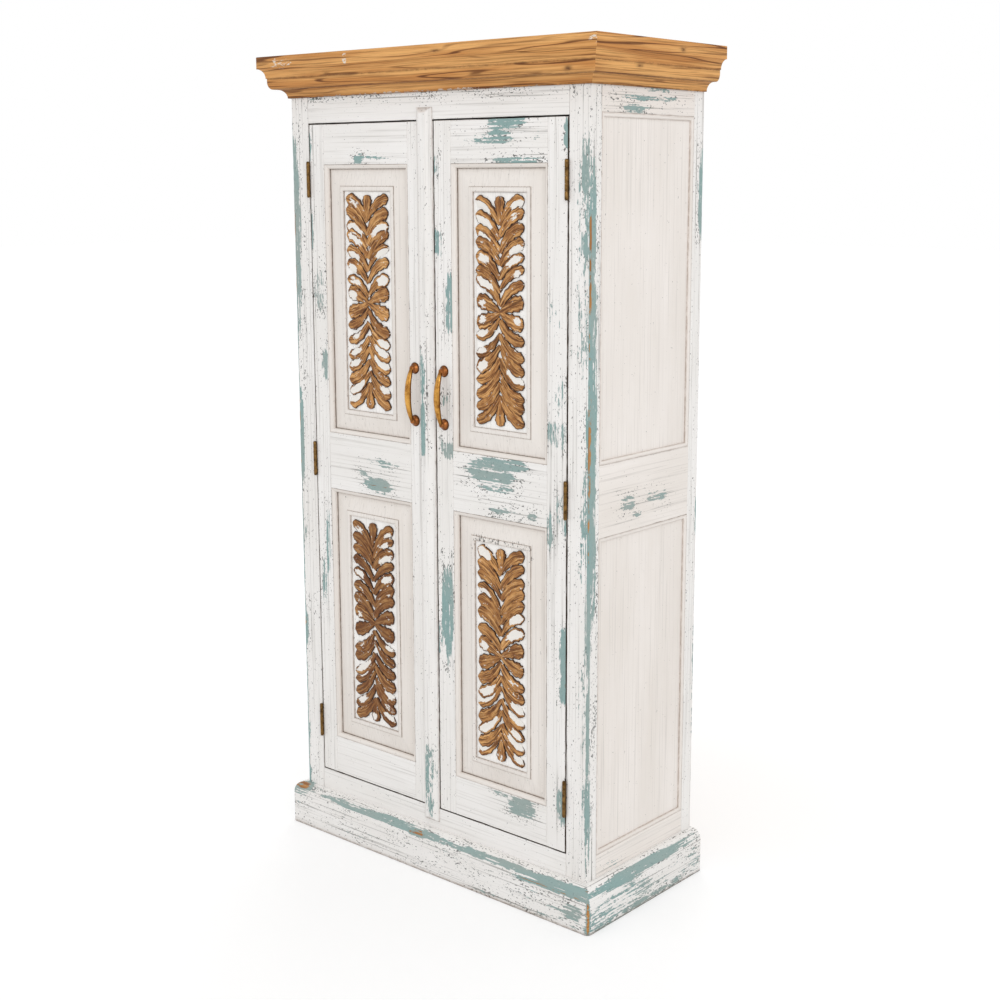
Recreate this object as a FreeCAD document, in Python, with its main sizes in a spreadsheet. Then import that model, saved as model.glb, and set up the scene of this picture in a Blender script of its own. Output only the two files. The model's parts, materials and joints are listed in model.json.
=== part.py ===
"""Tall painted cabinet with two carved doors, a natural wood cornice and a moulded plinth.

Millimetres, +Z up. The origin is on the floor, under the middle of the cornice's outline. Places across the
depth are written from the front face of the carcass and then shifted by the sheet's value named front.
"""
import FreeCAD, Part
import math
import os
import re
import Sketcher

doc = FreeCAD.newDocument("Cabinet")
sheet = doc.addObject("Spreadsheet::Sheet", "Sizes")

# Driving sizes: name, value, meaning.
SIZES = (
    ("width", 854, "carcass, outside, across"),
    ("depth", 378, "carcass, front to back"),
    ("height", 1800, "floor to the top of the cornice"),
    ("post_width", 54.5, "front post, across"),
    ("post_depth", 34, "front post, front to back"),
    ("rear_post_width", 40, "rear post, across"),
    ("rear_post_depth", 35, "rear post, front to back"),
    ("top_thick", 22, "top board"),
    ("plinth_height", 99, "plinth board, high"),
    ("plinth_thick", 29, "plinth board, in front of the posts"),
    ("plinth_round", 24, "rounded top edge of the plinth"),
    ("cornice_height", 89, "cornice, high"),
    ("cornice_reach", 53, "cornice, out from the carcass"),
    ("fascia_height", 26, "straight top band of the cornice"),
    ("cove_in", 14, "hollow under the fascia, inward"),
    ("cove_drop", 20.5, "hollow under the fascia, downward"),
    ("quirk_in", 2, "small step under the hollow, inward"),
    ("quirk_drop", 7, "small step under the hollow, downward"),
    ("ovolo_in", 9, "rounded member, inward"),
    ("ovolo_drop", 16.5, "rounded member, downward"),
    ("step_in", 6, "step under the rounded member"),
    ("foot_reach", 5, "lowest edge of the cornice, out from the carcass"),
    ("side_rail_thick", 24, "side rails, thick"),
    ("side_top_rail", 118, "side top rail, high"),
    ("side_middle_rail", 149, "side middle rail, high"),
    ("side_middle_low", 823.5, "floor to the side middle rail"),
    ("side_bottom_rail", 118, "side bottom rail, high"),
    ("side_bottom_low", 30, "floor to the side bottom rail"),
    ("side_panel_thick", 10, "side panels"),
    ("side_panel_recess", 6, "side panel behind the rails' outer face"),
    ("groove_entry", 8, "side panel inside its groove"),
    ("groove_room", 1, "free room at the bottom of a groove or mortise"),
    ("bead_width", 9, "bead round a side panel"),
    ("bead_set_back", 0.5, "bead behind the rails' outer face"),
    ("bead_round", 4.5, "rounded edge of the bead"),
    ("side_tenon", 20, "side rail tenons, long"),
    ("tenon_shoulder", 14, "rail above and below a tenon"),
    ("face_tenon", 25, "face rail tenons, long"),
    ("face_tenon_thick", 10, "face rail tenons, thick"),
    ("face_rail_low", 30, "floor to the lower face rail"),
    ("back_thick", 10, "back boards"),
    ("back_low", 60, "floor to the back boards"),
    ("back_top_rail", 80, "upper rail of the back, high"),
    ("back_bottom_rail", 87, "lower rail of the back, high"),
    ("back_tenon", 18, "back rail tenons, long"),
    ("back_tenon_thick", 9, "back rail tenons, thick"),
    ("back_board_count", 5, "boards in the back"),
    ("board_gap", 1, "gap between the back boards"),
    ("shelf_thick", 18, "shelves and bottom board"),
    ("shelf_room", 1, "free room round a shelf"),
    ("shelf_front", 44, "carcass front to the front edge of a shelf"),
    ("lower_shelf_top", 545, "floor to the top of the lower shelf"),
    ("middle_shelf_top", 945, "floor to the top of the middle shelf"),
    ("upper_shelf_top", 1345, "floor to the top of the upper shelf"),
    ("cleat_width", 28, "shelf cleats, wide"),
    ("cleat_height", 24, "shelf cleats, high"),
    ("door_low", 150, "floor to the doors"),
    ("door_above", 148, "top of the doors to the top of the cornice"),
    ("door_thick", 26, "doors, thick"),
    ("door_proud", 0.5, "door face in front of the carcass face"),
    ("door_gap", 3, "gap above, below and between the doors"),
    ("hinge_gap", 3.2, "gap at the hinge side of a door"),
    ("meeting_place", 11.5, "middle of the gap between the doors, right of the middle"),
    ("left_hinge_stile", 45, "left door, stile at the hinges"),
    ("left_meeting_stile", 75, "left door, stile at the middle"),
    ("right_hinge_stile", 50, "right door, stile at the hinges"),
    ("right_meeting_stile", 47, "right door, stile at the middle"),
    ("door_top_rail", 87, "doors, top rail, high"),
    ("door_middle_rail", 130, "doors, middle rail, high"),
    ("door_bottom_rail", 88, "doors, bottom rail, high"),
    ("door_tenon", 24, "door rail tenons, long"),
    ("tongue_thick", 7, "panel tongues and door tenons, thick"),
    ("tongue_entry", 10, "door panel inside its groove"),
    ("moulding_width", 9, "moulding round a door panel"),
    ("moulding_drop", 12.5, "door face to the edge of the panel"),
    ("moulding_set_back", 1, "moulding behind the door face"),
    ("moulding_round", 7.5, "rounded edge of the moulding"),
    ("bevel_width", 38, "sloped border of a door panel"),
    ("lip_drop", 4, "door face to the lip round the carving"),
    ("lip_rise", 1.5, "lip above the sloped border"),
    ("lip_width", 10, "lip round the carving"),
    ("pocket_depth", 9, "lip to the floor of the carving's pocket"),
    ("carving_room", 0.3, "free room round the carved insert"),
    ("carving_plate", 3, "ground of the carved insert"),
    ("leaf_height", 6, "leaves above their ground"),
    ("leaf_width", 19, "carved leaves, wide"),
    ("leaf_count", 7, "leaf pairs in each half of a carving"),
    ("leaf_root", 7, "carved leaves, wide at the stem"),
    ("leaf_slope", 45, "leaves to the level, degrees"),
    ("petal_slope", 15, "petals of the middle flower to the level, degrees"),
    ("end_leaf", 55, "leaf at each end of a carving, long"),
    ("stem_width", 5, "stem between the leaves"),
    ("flower_room", 24, "middle of a carving to its first leaf pair"),
    ("carving_margin", 5, "leaf tips to the edge of the insert"),
    ("strip_width", 46, "cover strip, wide"),
    ("strip_proud", 11, "cover strip, in front of the left door"),
    ("strip_bevel", 14.5, "sloped side of the cover strip"),
    ("strip_over", 28, "cover strip above the doors"),
    ("strip_under", 35, "cover strip below the doors"),
    ("hinge_length", 76, "butt hinges, long"),
    ("hinge_inset", 119.5, "door end to the middle of its end hinge"),
    ("knuckle_radius", 3.8, "hinge knuckles"),
    ("knuckle_gap", 0.3, "gap between two knuckles"),
    ("axis_reach", 5, "hinge pin in front of the carcass face"),
    ("pin_radius", 1.95, "hinge pins"),
    ("pin_fit", 0.05, "pin in its knuckles, and screws and bolts in their holes, round"),
    ("pin_cap_radius", 3, "cap of a hinge pin"),
    ("pin_cap", 1.6, "cap of a hinge pin, high"),
    ("leaf_thick", 1.5, "hinge leaves, thick"),
    ("hinge_leaf_width", 22, "hinge leaves, from the carcass face inward"),
    ("leaf_back", 0.6, "start of a hinge leaf in front of the carcass face"),
    ("screw_radius", 1.7, "hinge screws"),
    ("screw_head", 3.1, "hinge screws, head, round"),
    ("screw_length", 16, "hinge screws, long, below the head"),
    ("screw_place", 12, "hinge screws behind the carcass face"),
    ("handle_centres", 114, "handle feet, middle to middle"),
    ("handle_place", 1077.5, "floor to the middle of the handles"),
    ("left_handle_inset", 59, "meeting edge to the left handle"),
    ("right_handle_inset", 24, "meeting edge to the right handle"),
    ("handle_reach", 28.5, "handles in front of the door face"),
    ("bow_radius", 4.2, "bow of a handle, round"),
    ("foot_height", 9, "door face to the root of the bow"),
    ("foot_radius", 5.2, "feet of a handle"),
    ("foot_ball", 6.4, "ball at the root of the bow"),
    ("rosette_radius", 12.5, "rosette under a handle foot"),
    ("rosette_rim", 9, "rosette, flat top"),
    ("rosette_thick", 3.4, "rosette, thick"),
    ("bolt_radius", 2, "handle bolts"),
    ("bolt_entry", 8, "handle bolts beyond the door face"),
    ("bolt_head", 4.2, "handle bolts, head, round"),
    ("bolt_head_thick", 2.4, "handle bolts, head, thick"),
    ("catch_offset", 62, "meeting line to a catch"),
    ("catch_width", 40, "door catches, wide"),
    ("catch_thick", 14, "door catches, behind the face rail"),
    ("catch_above", 30, "door catches above the rail's lower edge"),
    ("catch_below", 30, "door catches below the rail's lower edge"),
    ("catch_nose", 24, "nose of a catch, high"),
    ("catch_play", 0.3, "nose of a catch to its plate"),
    ("plate_thick", 1.2, "catch plates"),
)

# Places worked out from the driving sizes.
PLACES = (
    ("half", "width / 2"),
    ("front", "(cornice_reach - depth) / 2"),
    ("post_in", "half - post_width"),
    ("rear_in", "half - rear_post_width"),
    ("rear_face", "depth - rear_post_depth"),
    ("top_low", "height - top_thick"),
    ("cornice_low", "height - cornice_height"),
    ("fascia_low", "height - fascia_height"),
    ("cove_reach", "cornice_reach - cove_in"),
    ("cove_low", "fascia_low - cove_drop"),
    ("quirk_reach", "cove_reach - quirk_in"),
    ("quirk_low", "cove_low - quirk_drop"),
    ("ovolo_reach", "quirk_reach - ovolo_in"),
    ("ovolo_low", "quirk_low - ovolo_drop"),
    ("step_reach", "ovolo_reach - step_in"),
    ("plinth_flat", "plinth_thick - plinth_round"),
    ("plinth_straight", "plinth_height - plinth_round"),
    ("panel_out", "half - side_panel_recess"),
    ("panel_in", "panel_out - side_panel_thick"),
    ("rail_in", "half - side_rail_thick"),
    ("side_upper_high", "top_low - side_top_rail"),
    ("side_upper_low", "side_middle_low + side_middle_rail"),
    ("side_lower_low", "side_bottom_low + side_bottom_rail"),
    ("back_in", "depth - back_thick"),
    ("board_pitch", "2 * rear_in / back_board_count"),
    ("door_top", "height - door_above"),
    ("door_height", "door_top - door_low"),
    ("face_low", "door_low - door_gap"),
    ("face_high", "door_top + door_gap"),
    ("door_front", "0 - door_proud"),
    ("door_back", "door_thick - door_proud"),
    ("door_edge", "post_in - hinge_gap"),
    ("left_meet", "meeting_place - door_gap / 2"),
    ("right_meet", "meeting_place + door_gap / 2"),
    ("door_upper_high", "door_top - door_top_rail"),
    ("door_lower_low", "door_low + door_bottom_rail"),
    ("door_panel_high", "(door_upper_high - door_lower_low - door_middle_rail) / 2"),
    ("door_lower_high", "door_lower_low + door_panel_high"),
    ("door_upper_low", "door_upper_high - door_panel_high"),
    ("tongue_front", "door_front + moulding_drop"),
    ("tongue_back", "tongue_front + tongue_thick"),
    ("lip_inset", "moulding_width + bevel_width"),
    ("lip_front", "door_front + lip_drop"),
    ("bevel_front", "lip_front + lip_rise"),
    ("pocket_inset", "lip_inset + lip_width"),
    ("pocket_back", "lip_front + pocket_depth"),
    ("carving_ground", "pocket_back - carving_plate"),
    ("axis_place", "post_in - hinge_gap / 2"),
    ("knuckle_length", "hinge_length / 5"),
    ("bow_sag", "handle_reach - bow_radius - foot_height"),
    ("bow_ring", "handle_centres * handle_centres / (8 * bow_sag) + bow_sag / 2"),
    ("catch_face", "door_back + plate_thick + catch_play"),
)

NAMES = {name for name, value, meaning in SIZES} | {name for name, rule in PLACES}


def sheet_name(word):
    return "Sizes." + word[0] if word[0] in NAMES else word[0]


def formula(text):
    """Write a rule in size names as an expression that reads the sheet."""
    return re.sub(r"[a-z][a-z_]*", sheet_name, text)


for row, (name, value, meaning) in enumerate(SIZES, start=1):
    sheet.set("A%d" % row, meaning)
    sheet.set("B%d" % row, str(value))
    sheet.setAlias("B%d" % row, name)
for row, (name, rule) in enumerate(PLACES, start=len(SIZES) + 2):
    sheet.set("A%d" % row, "worked out: " + name)
    sheet.set("B%d" % row, "=" + rule)
    sheet.setAlias("B%d" % row, name)
    doc.recompute()


def size(name):
    """The present value of one size, in millimetres."""
    return float(sheet.get(name))


def bind(piece, target, text):
    piece.setExpression(target, formula(text))


def place(piece, x, y, z):
    """Put a piece's own origin at x, y, z, with y counted from the carcass front."""
    bind(piece, "Placement.Base.x", x)
    bind(piece, "Placement.Base.y", "front + (%s)" % y)
    bind(piece, "Placement.Base.z", z)


def turn(piece, along_x, along_y):
    """Turn a piece so that its own X and Y axes run along two given directions."""
    first = FreeCAD.Vector(*along_x)
    second = FreeCAD.Vector(*along_y)
    rotation = FreeCAD.Rotation(first, second, first.cross(second), "ZXY")
    piece.Placement = FreeCAD.Placement(FreeCAD.Vector(), rotation)


def block(x, y, z):
    """A straight block between three pairs of limits."""
    piece = doc.addObject("Part::Box", "Block")
    for target, (low, high) in zip(("Length", "Width", "Height"), (x, y, z)):
        bind(piece, target, "(%s) - (%s)" % (high, low))
    place(piece, x[0], y[0], z[0])
    return piece


ROUND_AIMS = {
    "x": ((0, 1, 0), (0, 0, 1)),
    "-x": ((0, 0, 1), (0, 1, 0)),
    "y": ((0, 0, 1), (1, 0, 0)),
    "-y": ((1, 0, 0), (0, 0, 1)),
    "z": ((1, 0, 0), (0, 1, 0)),
}


def rod(radius, start, length, aim):
    """A round rod from a start point along one axis."""
    piece = doc.addObject("Part::Cylinder", "Rod")
    bind(piece, "Radius", radius)
    bind(piece, "Height", length)
    turn(piece, *ROUND_AIMS[aim])
    place(piece, *start)
    return piece


def taper(radius, end_radius, start, length, aim):
    """A round piece that changes its radius along one axis."""
    piece = doc.addObject("Part::Cone", "Taper")
    bind(piece, "Radius1", radius)
    bind(piece, "Radius2", end_radius)
    bind(piece, "Height", length)
    turn(piece, *ROUND_AIMS[aim])
    place(piece, *start)
    return piece


def join(*pieces):
    if len(pieces) == 1:
        return pieces[0]
    whole = doc.addObject("Part::MultiFuse", "Join")
    whole.Shapes = list(pieces)
    whole.Refine = True
    return whole


def cut(base, *tools):
    if not tools:
        return base
    left = doc.addObject("Part::Cut", "Cut")
    left.Base = base
    left.Tool = join(*tools)
    return left


def group(pieces):
    """Several separate solids that share one name."""
    together = doc.addObject("Part::Compound", "Group")
    together.Links = list(pieces)
    return together


sub_parts = []


def finish(label, piece):
    piece.Label = label
    sub_parts.append(piece)


def both(sign, low, high):
    """A pair of limits on the right side, or the same pair mirrored to the left side."""
    if sign > 0:
        return low, high
    return "-(%s)" % high, "-(%s)" % low


def signed(sign, text):
    return text if sign > 0 else "-(%s)" % text


SIDES = (("left", -1), ("right", 1))
# Rails of a side: name, lower edge, upper edge.
SIDE_RAILS = (
    ("top", "side_upper_high", "top_low"),
    ("middle", "side_middle_low", "side_upper_low"),
    ("bottom", "side_bottom_low", "side_lower_low"),
)
# Panels of a side: lower edge and upper edge of the opening.
SIDE_OPENINGS = (("side_upper_low", "side_upper_high"), ("side_lower_low", "side_middle_low"))
FACE_RAILS = (("top", "face_high", "top_low"), ("bottom", "face_rail_low", "face_low"))
BACK_RAILS = (
    ("top", "top_low - back_top_rail", "top_low"),
    ("bottom", "back_low", "back_low + back_bottom_rail"),
)


def inside(low, high):
    """Height of a tenon, between the shoulders of its rail."""
    return "(%s) + tenon_shoulder" % low, "(%s) - tenon_shoulder" % high


def side_panel(sign, low, high, entry):
    """A side panel, or its groove where the entry has room added."""
    return block(
        both(sign, "panel_in", "panel_out"),
        ("post_depth - (%s)" % entry, "rear_face + (%s)" % entry),
        ("%s - (%s)" % (low, entry), "%s + (%s)" % (high, entry)),
    )


def side_grooves(sign):
    return [side_panel(sign, low, high, "groove_entry + groove_room") for low, high in SIDE_OPENINGS]


def side_tenons(sign, low, high, room):
    """The tenon at each end of a side rail, or its mortise where room is added."""
    wide = both(sign, "panel_in", "panel_out")
    front_end = block(wide, ("post_depth - side_tenon - (%s)" % room, "post_depth"), inside(low, high))
    rear_end = block(wide, ("rear_face", "rear_face + side_tenon + (%s)" % room), inside(low, high))
    return front_end, rear_end


def face_tenon(sign, low, high, room):
    return block(
        both(sign, "post_in", "post_in + face_tenon + (%s)" % room),
        ("(post_depth - face_tenon_thick) / 2", "(post_depth + face_tenon_thick) / 2"),
        inside(low, high),
    )


def back_tenon(sign, low, high, room):
    middle = "(rear_face + back_in) / 2"
    return block(
        both(sign, "rear_in", "rear_in + back_tenon + (%s)" % room),
        (middle + " - back_tenon_thick / 2", middle + " + back_tenon_thick / 2"),
        inside(low, high),
    )


# Hinges: three on each door, at the same heights on both.
HINGE_HEIGHTS = (
    "door_low + hinge_inset - hinge_length / 2",
    "door_low + door_height / 2 - hinge_length / 2",
    "door_top - hinge_inset - hinge_length / 2",
)
SCREW_SHARES = ("1 / 6", "1 / 2", "5 / 6")


def screw_starts(sign, on_door):
    """Where the hinge screws meet the wood under a leaf, and the way they point."""
    wood = "door_edge" if on_door else "post_in"
    aim = "-x" if (sign > 0) == on_door else "x"
    starts = []
    for low in HINGE_HEIGHTS:
        for share in SCREW_SHARES:
            starts.append((signed(sign, wood), "screw_place", "%s + hinge_length * %s" % (low, share)))
    return starts, aim


def screw_holes(sign, on_door):
    starts, aim = screw_starts(sign, on_door)
    return [rod("screw_radius + pin_fit", start, "screw_length + groove_room", aim) for start in starts]


def screw_heads(sign, on_door, room):
    """Countersunk heads that fill the leaf, or their seats where room is added."""
    starts, aim = screw_starts(sign, on_door)
    back = aim[1:] if aim.startswith("-") else "-" + aim
    narrow = "screw_radius + " + room
    wide = "screw_head + " + room
    return [taper(narrow, wide, start, "leaf_thick", back) for start in starts]


def hinge_screws(sign, on_door):
    starts, aim = screw_starts(sign, on_door)
    shanks = [rod("screw_radius", start, "screw_length", aim) for start in starts]
    return [join(shank, head) for shank, head in zip(shanks, screw_heads(sign, on_door, "0"))]


def hinge_leaves(sign, on_door):
    """The three leaves of one door, each with its own knuckles, bored for the pin and the screws."""
    wide = both(sign, "post_in - leaf_thick", "post_in")
    if on_door:
        wide = both(sign, "door_edge", "door_edge + leaf_thick")
    axis = signed(sign, "axis_place")
    seats = screw_heads(sign, on_door, "pin_fit")
    leaves = []
    for number, low in enumerate(HINGE_HEIGHTS):
        pieces = [block(wide, ("-leaf_back", "hinge_leaf_width"), (low, "%s + hinge_length" % low))]
        for knuckle in range(1 if on_door else 0, 5, 2):
            foot = "%s + knuckle_length * %d + knuckle_gap / 2" % (low, knuckle)
            head = "%s + knuckle_length * %d - knuckle_gap / 2" % (low, knuckle + 1)
            knuckle_long = "knuckle_length - knuckle_gap"
            pieces.append(rod("knuckle_radius", (axis, "-axis_reach", foot), knuckle_long, "z"))
            pieces.append(block(wide, ("-axis_reach", "0"), (foot, head)))
        bore_start = (axis, "-axis_reach", low + " - pin_cap")
        bore = rod("pin_radius + pin_fit", bore_start, "hinge_length + 2 * pin_cap", "z")
        first = number * len(SCREW_SHARES)
        leaves.append(cut(join(*pieces), bore, *seats[first:first + len(SCREW_SHARES)]))
    return leaves


def hinge_pins(sign):
    pins = []
    axis = signed(sign, "axis_place")
    for low in HINGE_HEIGHTS:
        shank = rod("pin_radius", (axis, "-axis_reach", low), "hinge_length", "z")
        top = rod("pin_cap_radius", (axis, "-axis_reach", low + " + hinge_length"), "pin_cap", "z")
        foot = rod("pin_cap_radius", (axis, "-axis_reach", low + " - pin_cap"), "pin_cap", "z")
        pins.append(join(shank, top, foot))
    return pins


# Posts, side frames and their panels.
for side, sign in SIDES:
    mortises = [side_tenons(sign, low, high, "groove_room") for name, low, high in SIDE_RAILS]
    front_cuts = side_grooves(sign) + [pair[0] for pair in mortises]
    front_cuts += [face_tenon(sign, low, high, "groove_room") for name, low, high in FACE_RAILS]
    front_cuts += screw_holes(sign, False)
    front_post = block(both(sign, "post_in", "half"), ("0", "post_depth"), ("0", "top_low"))
    finish("front_post_" + side, cut(front_post, *front_cuts))
    rear_cuts = side_grooves(sign) + [pair[1] for pair in mortises]
    rear_cuts += [back_tenon(sign, low, high, "groove_room") for name, low, high in BACK_RAILS]
    rear_post = block(both(sign, "rear_in", "half"), ("rear_face", "depth"), ("0", "top_low"))
    finish("rear_post_" + side, cut(rear_post, *rear_cuts))
    for name, low, high in SIDE_RAILS:
        rail = block(both(sign, "rail_in", "half"), ("post_depth", "rear_face"), (low, high))
        whole = join(rail, *side_tenons(sign, low, high, "0"))
        finish("%s_side_%s_rail" % (side, name), cut(whole, *side_grooves(sign)))
    panels = [side_panel(sign, low, high, "groove_entry") for low, high in SIDE_OPENINGS]
    finish(side + "_side_panels", group(panels))

# Rails of the face and of the back.
for name, low, high in FACE_RAILS:
    rail = block(("-post_in", "post_in"), ("0", "post_depth"), (low, high))
    finish("face_%s_rail" % name, join(rail, *[face_tenon(sign, low, high, "0") for side, sign in SIDES]))
for name, low, high in BACK_RAILS:
    rail = block(("-rear_in", "rear_in"), ("rear_face", "back_in"), (low, high))
    finish("back_%s_rail" % name, join(rail, *[back_tenon(sign, low, high, "0") for side, sign in SIDES]))

# Boards of the back, the top, the bottom and the shelves on their cleats.
boards = []
for number in range(int(size("back_board_count"))):
    left_edge = "board_pitch * %d - rear_in" % number
    boards.append(block((left_edge, left_edge + " + board_pitch - board_gap"), ("back_in", "depth"),
                        ("back_low", "top_low")))
finish("back_boards", group(boards))
finish("top_board", block(("-half", "half"), ("0", "depth"), ("top_low", "height")))
finish("bottom_board", block(("shelf_room - rail_in", "rail_in - shelf_room"), ("post_depth", "rear_face"),
                             ("face_low - shelf_thick", "face_low")))
for name in ("lower", "middle", "upper"):
    level = (name + "_shelf_top - shelf_thick", name + "_shelf_top")
    between_rails = ("shelf_room - rail_in", "rail_in - shelf_room")
    between_posts = ("shelf_room - rear_in", "rear_in - shelf_room")
    wide = block(between_rails, ("shelf_front", "rear_face - shelf_room"), level)
    tail = block(between_posts, ("shelf_front", "back_in"), level)
    finish(name + "_shelf", join(wide, tail))
cleats = []
for top in ("face_low", "lower_shelf_top", "middle_shelf_top", "upper_shelf_top"):
    for side, sign in SIDES:
        cleats.append(block(both(sign, "rail_in - cleat_width", "rail_in"), ("post_depth", "rear_face"),
                            (top + " - shelf_thick - cleat_height", top + " - shelf_thick")))
finish("shelf_cleats", group(cleats))


def profile(name, corners):
    """A closed sketch through named corners. A third entry bends the run to the next corner: its radius, and
    1 for a rounded run or -1 for a hollow one, going round the outline clockwise."""
    sketch = doc.addObject("Sketcher::SketchObject", name)
    spots = [FreeCAD.Vector(size(u) if u else 0, size(v) if v else 0, 0) for u, v, bend in corners]
    starts = []
    for number, (u, v, bend) in enumerate(corners):
        begin = spots[number]
        end = spots[(number + 1) % len(spots)]
        if bend is None:
            edge = sketch.addGeometry(Part.LineSegment(begin, end), False)
            starts.append((edge, 1, 2))
            continue
        radius, sense = bend
        chord = end - begin
        radius_now = chord.Length * radius
        sagitta = radius_now - math.sqrt(radius_now ** 2 - (chord.Length / 2) ** 2)
        outward = FreeCAD.Vector(-chord.y, chord.x, 0).normalize() * sense
        first, last = (end, begin) if sense > 0 else (begin, end)
        edge = sketch.addGeometry(Part.Arc(first, (begin + end) / 2 + outward * sagitta, last), False)
        arc = sketch.Geometry[edge]
        same_way = (arc.StartPoint - begin).Length < (arc.EndPoint - begin).Length
        starts.append((edge, 1, 2) if same_way else (edge, 2, 1))
    for number, (u, v, bend) in enumerate(corners):
        edge, begin, end = starts[number]
        next_edge, next_begin, next_end = starts[(number + 1) % len(starts)]
        sketch.addConstraint(Sketcher.Constraint("Coincident", edge, end, next_edge, next_begin))
        corner = spots[number]
        for kind, axis, rule, value in (("DistanceX", -2, u, corner.x), ("DistanceY", -1, v, corner.y)):
            if rule is None:
                sketch.addConstraint(Sketcher.Constraint("PointOnObject", edge, begin, axis))
                continue
            spot = sketch.addConstraint(Sketcher.Constraint(kind, -1, 1, edge, begin, value))
            bind(sketch, "Constraints[%d]" % spot, rule)
        if bend is not None:
            after = corners[(number + 1) % len(corners)]
            across = "((%s) - (%s))" % (after[0] or "0", u or "0")
            upward = "((%s) - (%s))" % (after[1] or "0", v or "0")
            chord = "sqrt(%s * %s + %s * %s)" % (across, across, upward, upward)
            now = (spots[(number + 1) % len(spots)] - spots[number]).Length * bend[0]
            spot = sketch.addConstraint(Sketcher.Constraint("Radius", edge, now))
            bind(sketch, "Constraints[%d]" % spot, "%s * %s" % (chord, bend[0]))
    return sketch


QUARTER = math.sqrt(0.5)
FLAT_BEND = 0.8
# Outlines, outward from the carcass face and upward from the floor, clockwise from the lower inner corner.
CORNICE_OUTLINE = (
    (None, "cornice_low", None),
    (None, "height", None),
    ("cornice_reach", "height", None),
    ("cornice_reach", "fascia_low", (FLAT_BEND, -1)),
    ("cove_reach", "cove_low", None),
    ("quirk_reach", "cove_low", None),
    ("quirk_reach", "quirk_low", (FLAT_BEND, 1)),
    ("ovolo_reach", "ovolo_low", None),
    ("step_reach", "ovolo_low", (FLAT_BEND, -1)),
    ("foot_reach", "cornice_low", None),
)
PLINTH_OUTLINE = (
    (None, None, None),
    (None, "plinth_height", None),
    ("plinth_flat", "plinth_height", (QUARTER, 1)),
    ("plinth_thick", "plinth_straight", None),
    ("plinth_thick", None, None),
)


def mitre_block(reach, low, high, runs):
    """A block with slanted ends: runs are its near and far ends at the carcass face and at its outer face."""
    piece = doc.addObject("Part::Wedge", "Mitre")
    (near, far), (near_out, far_out) = runs
    rules = (
        ("Xmin", near), ("Xmax", far), ("X2min", near_out), ("X2max", far_out),
        ("Ymin", "0"), ("Ymax", reach),
        ("Zmin", low), ("Zmax", high), ("Z2min", low), ("Z2max", high),
    )
    for target, rule in rules:
        bind(piece, target, rule)
    return piece


def moulding_run(name, outline, reach, low, high):
    """Front and side runs of one moulding, mitred at the front corners and square at the back."""
    front_sketch = profile(name + "_outline", outline)
    turn(front_sketch, (0, -1, 0), (0, 0, 1))
    place(front_sketch, "0", "0", "0")
    front_run = doc.addObject("Part::Extrusion", "Run")
    front_run.Base = front_sketch
    front_run.DirMode = "Custom"
    front_run.Dir = FreeCAD.Vector(1, 0, 0)
    front_run.Solid = True
    front_run.Symmetric = True
    bind(front_run, "LengthFwd", "width + 2 * %s" % reach)
    ends = mitre_block(reach, low, high, (("-half", "half"), ("-half - " + reach, "half + " + reach)))
    mirrored = FreeCAD.Rotation(FreeCAD.Vector(1, 0, 0), 180)
    ends.Placement = FreeCAD.Placement(FreeCAD.Vector(), mirrored)
    place(ends, "0", "0", "%s + %s" % (low, high))
    front_piece = doc.addObject("Part::Common", "Mitred")
    front_piece.Base = front_run
    front_piece.Tool = ends
    finish(name + "_front", front_piece)
    for side, sign in SIDES:
        side_sketch = profile("%s_%s_outline" % (name, side), outline)
        turn(side_sketch, (sign, 0, 0), (0, 0, 1))
        place(side_sketch, signed(sign, "half"), "0", "0")
        side_run = doc.addObject("Part::Extrusion", "Run")
        side_run.Base = side_sketch
        side_run.DirMode = "Custom"
        side_run.Dir = FreeCAD.Vector(0, 1, 0)
        side_run.Solid = True
        bind(side_run, "LengthFwd", "depth")
        bind(side_run, "LengthRev", reach)
        if sign > 0:
            ends = mitre_block(reach, low, high, (("-depth", "0"), ("-depth", reach)))
            turn(ends, (0, -1, 0), (1, 0, 0))
        else:
            ends = mitre_block(reach, low, high, (("0", "depth"), ("-" + reach, "depth")))
            turn(ends, (0, 1, 0), (-1, 0, 0))
        place(ends, signed(sign, "half"), "0", "0")
        side_piece = doc.addObject("Part::Common", "Mitred")
        side_piece.Base = side_run
        side_piece.Tool = ends
        finish("%s_%s" % (name, side), side_piece)


moulding_run("cornice", CORNICE_OUTLINE, "cornice_reach", "cornice_low", "height")
moulding_run("plinth", PLINTH_OUTLINE, "plinth_thick", "0", "plinth_height")

AXES = {"x": FreeCAD.Vector(1, 0, 0), "y": FreeCAD.Vector(0, 1, 0), "z": FreeCAD.Vector(0, 0, 1)}


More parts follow.
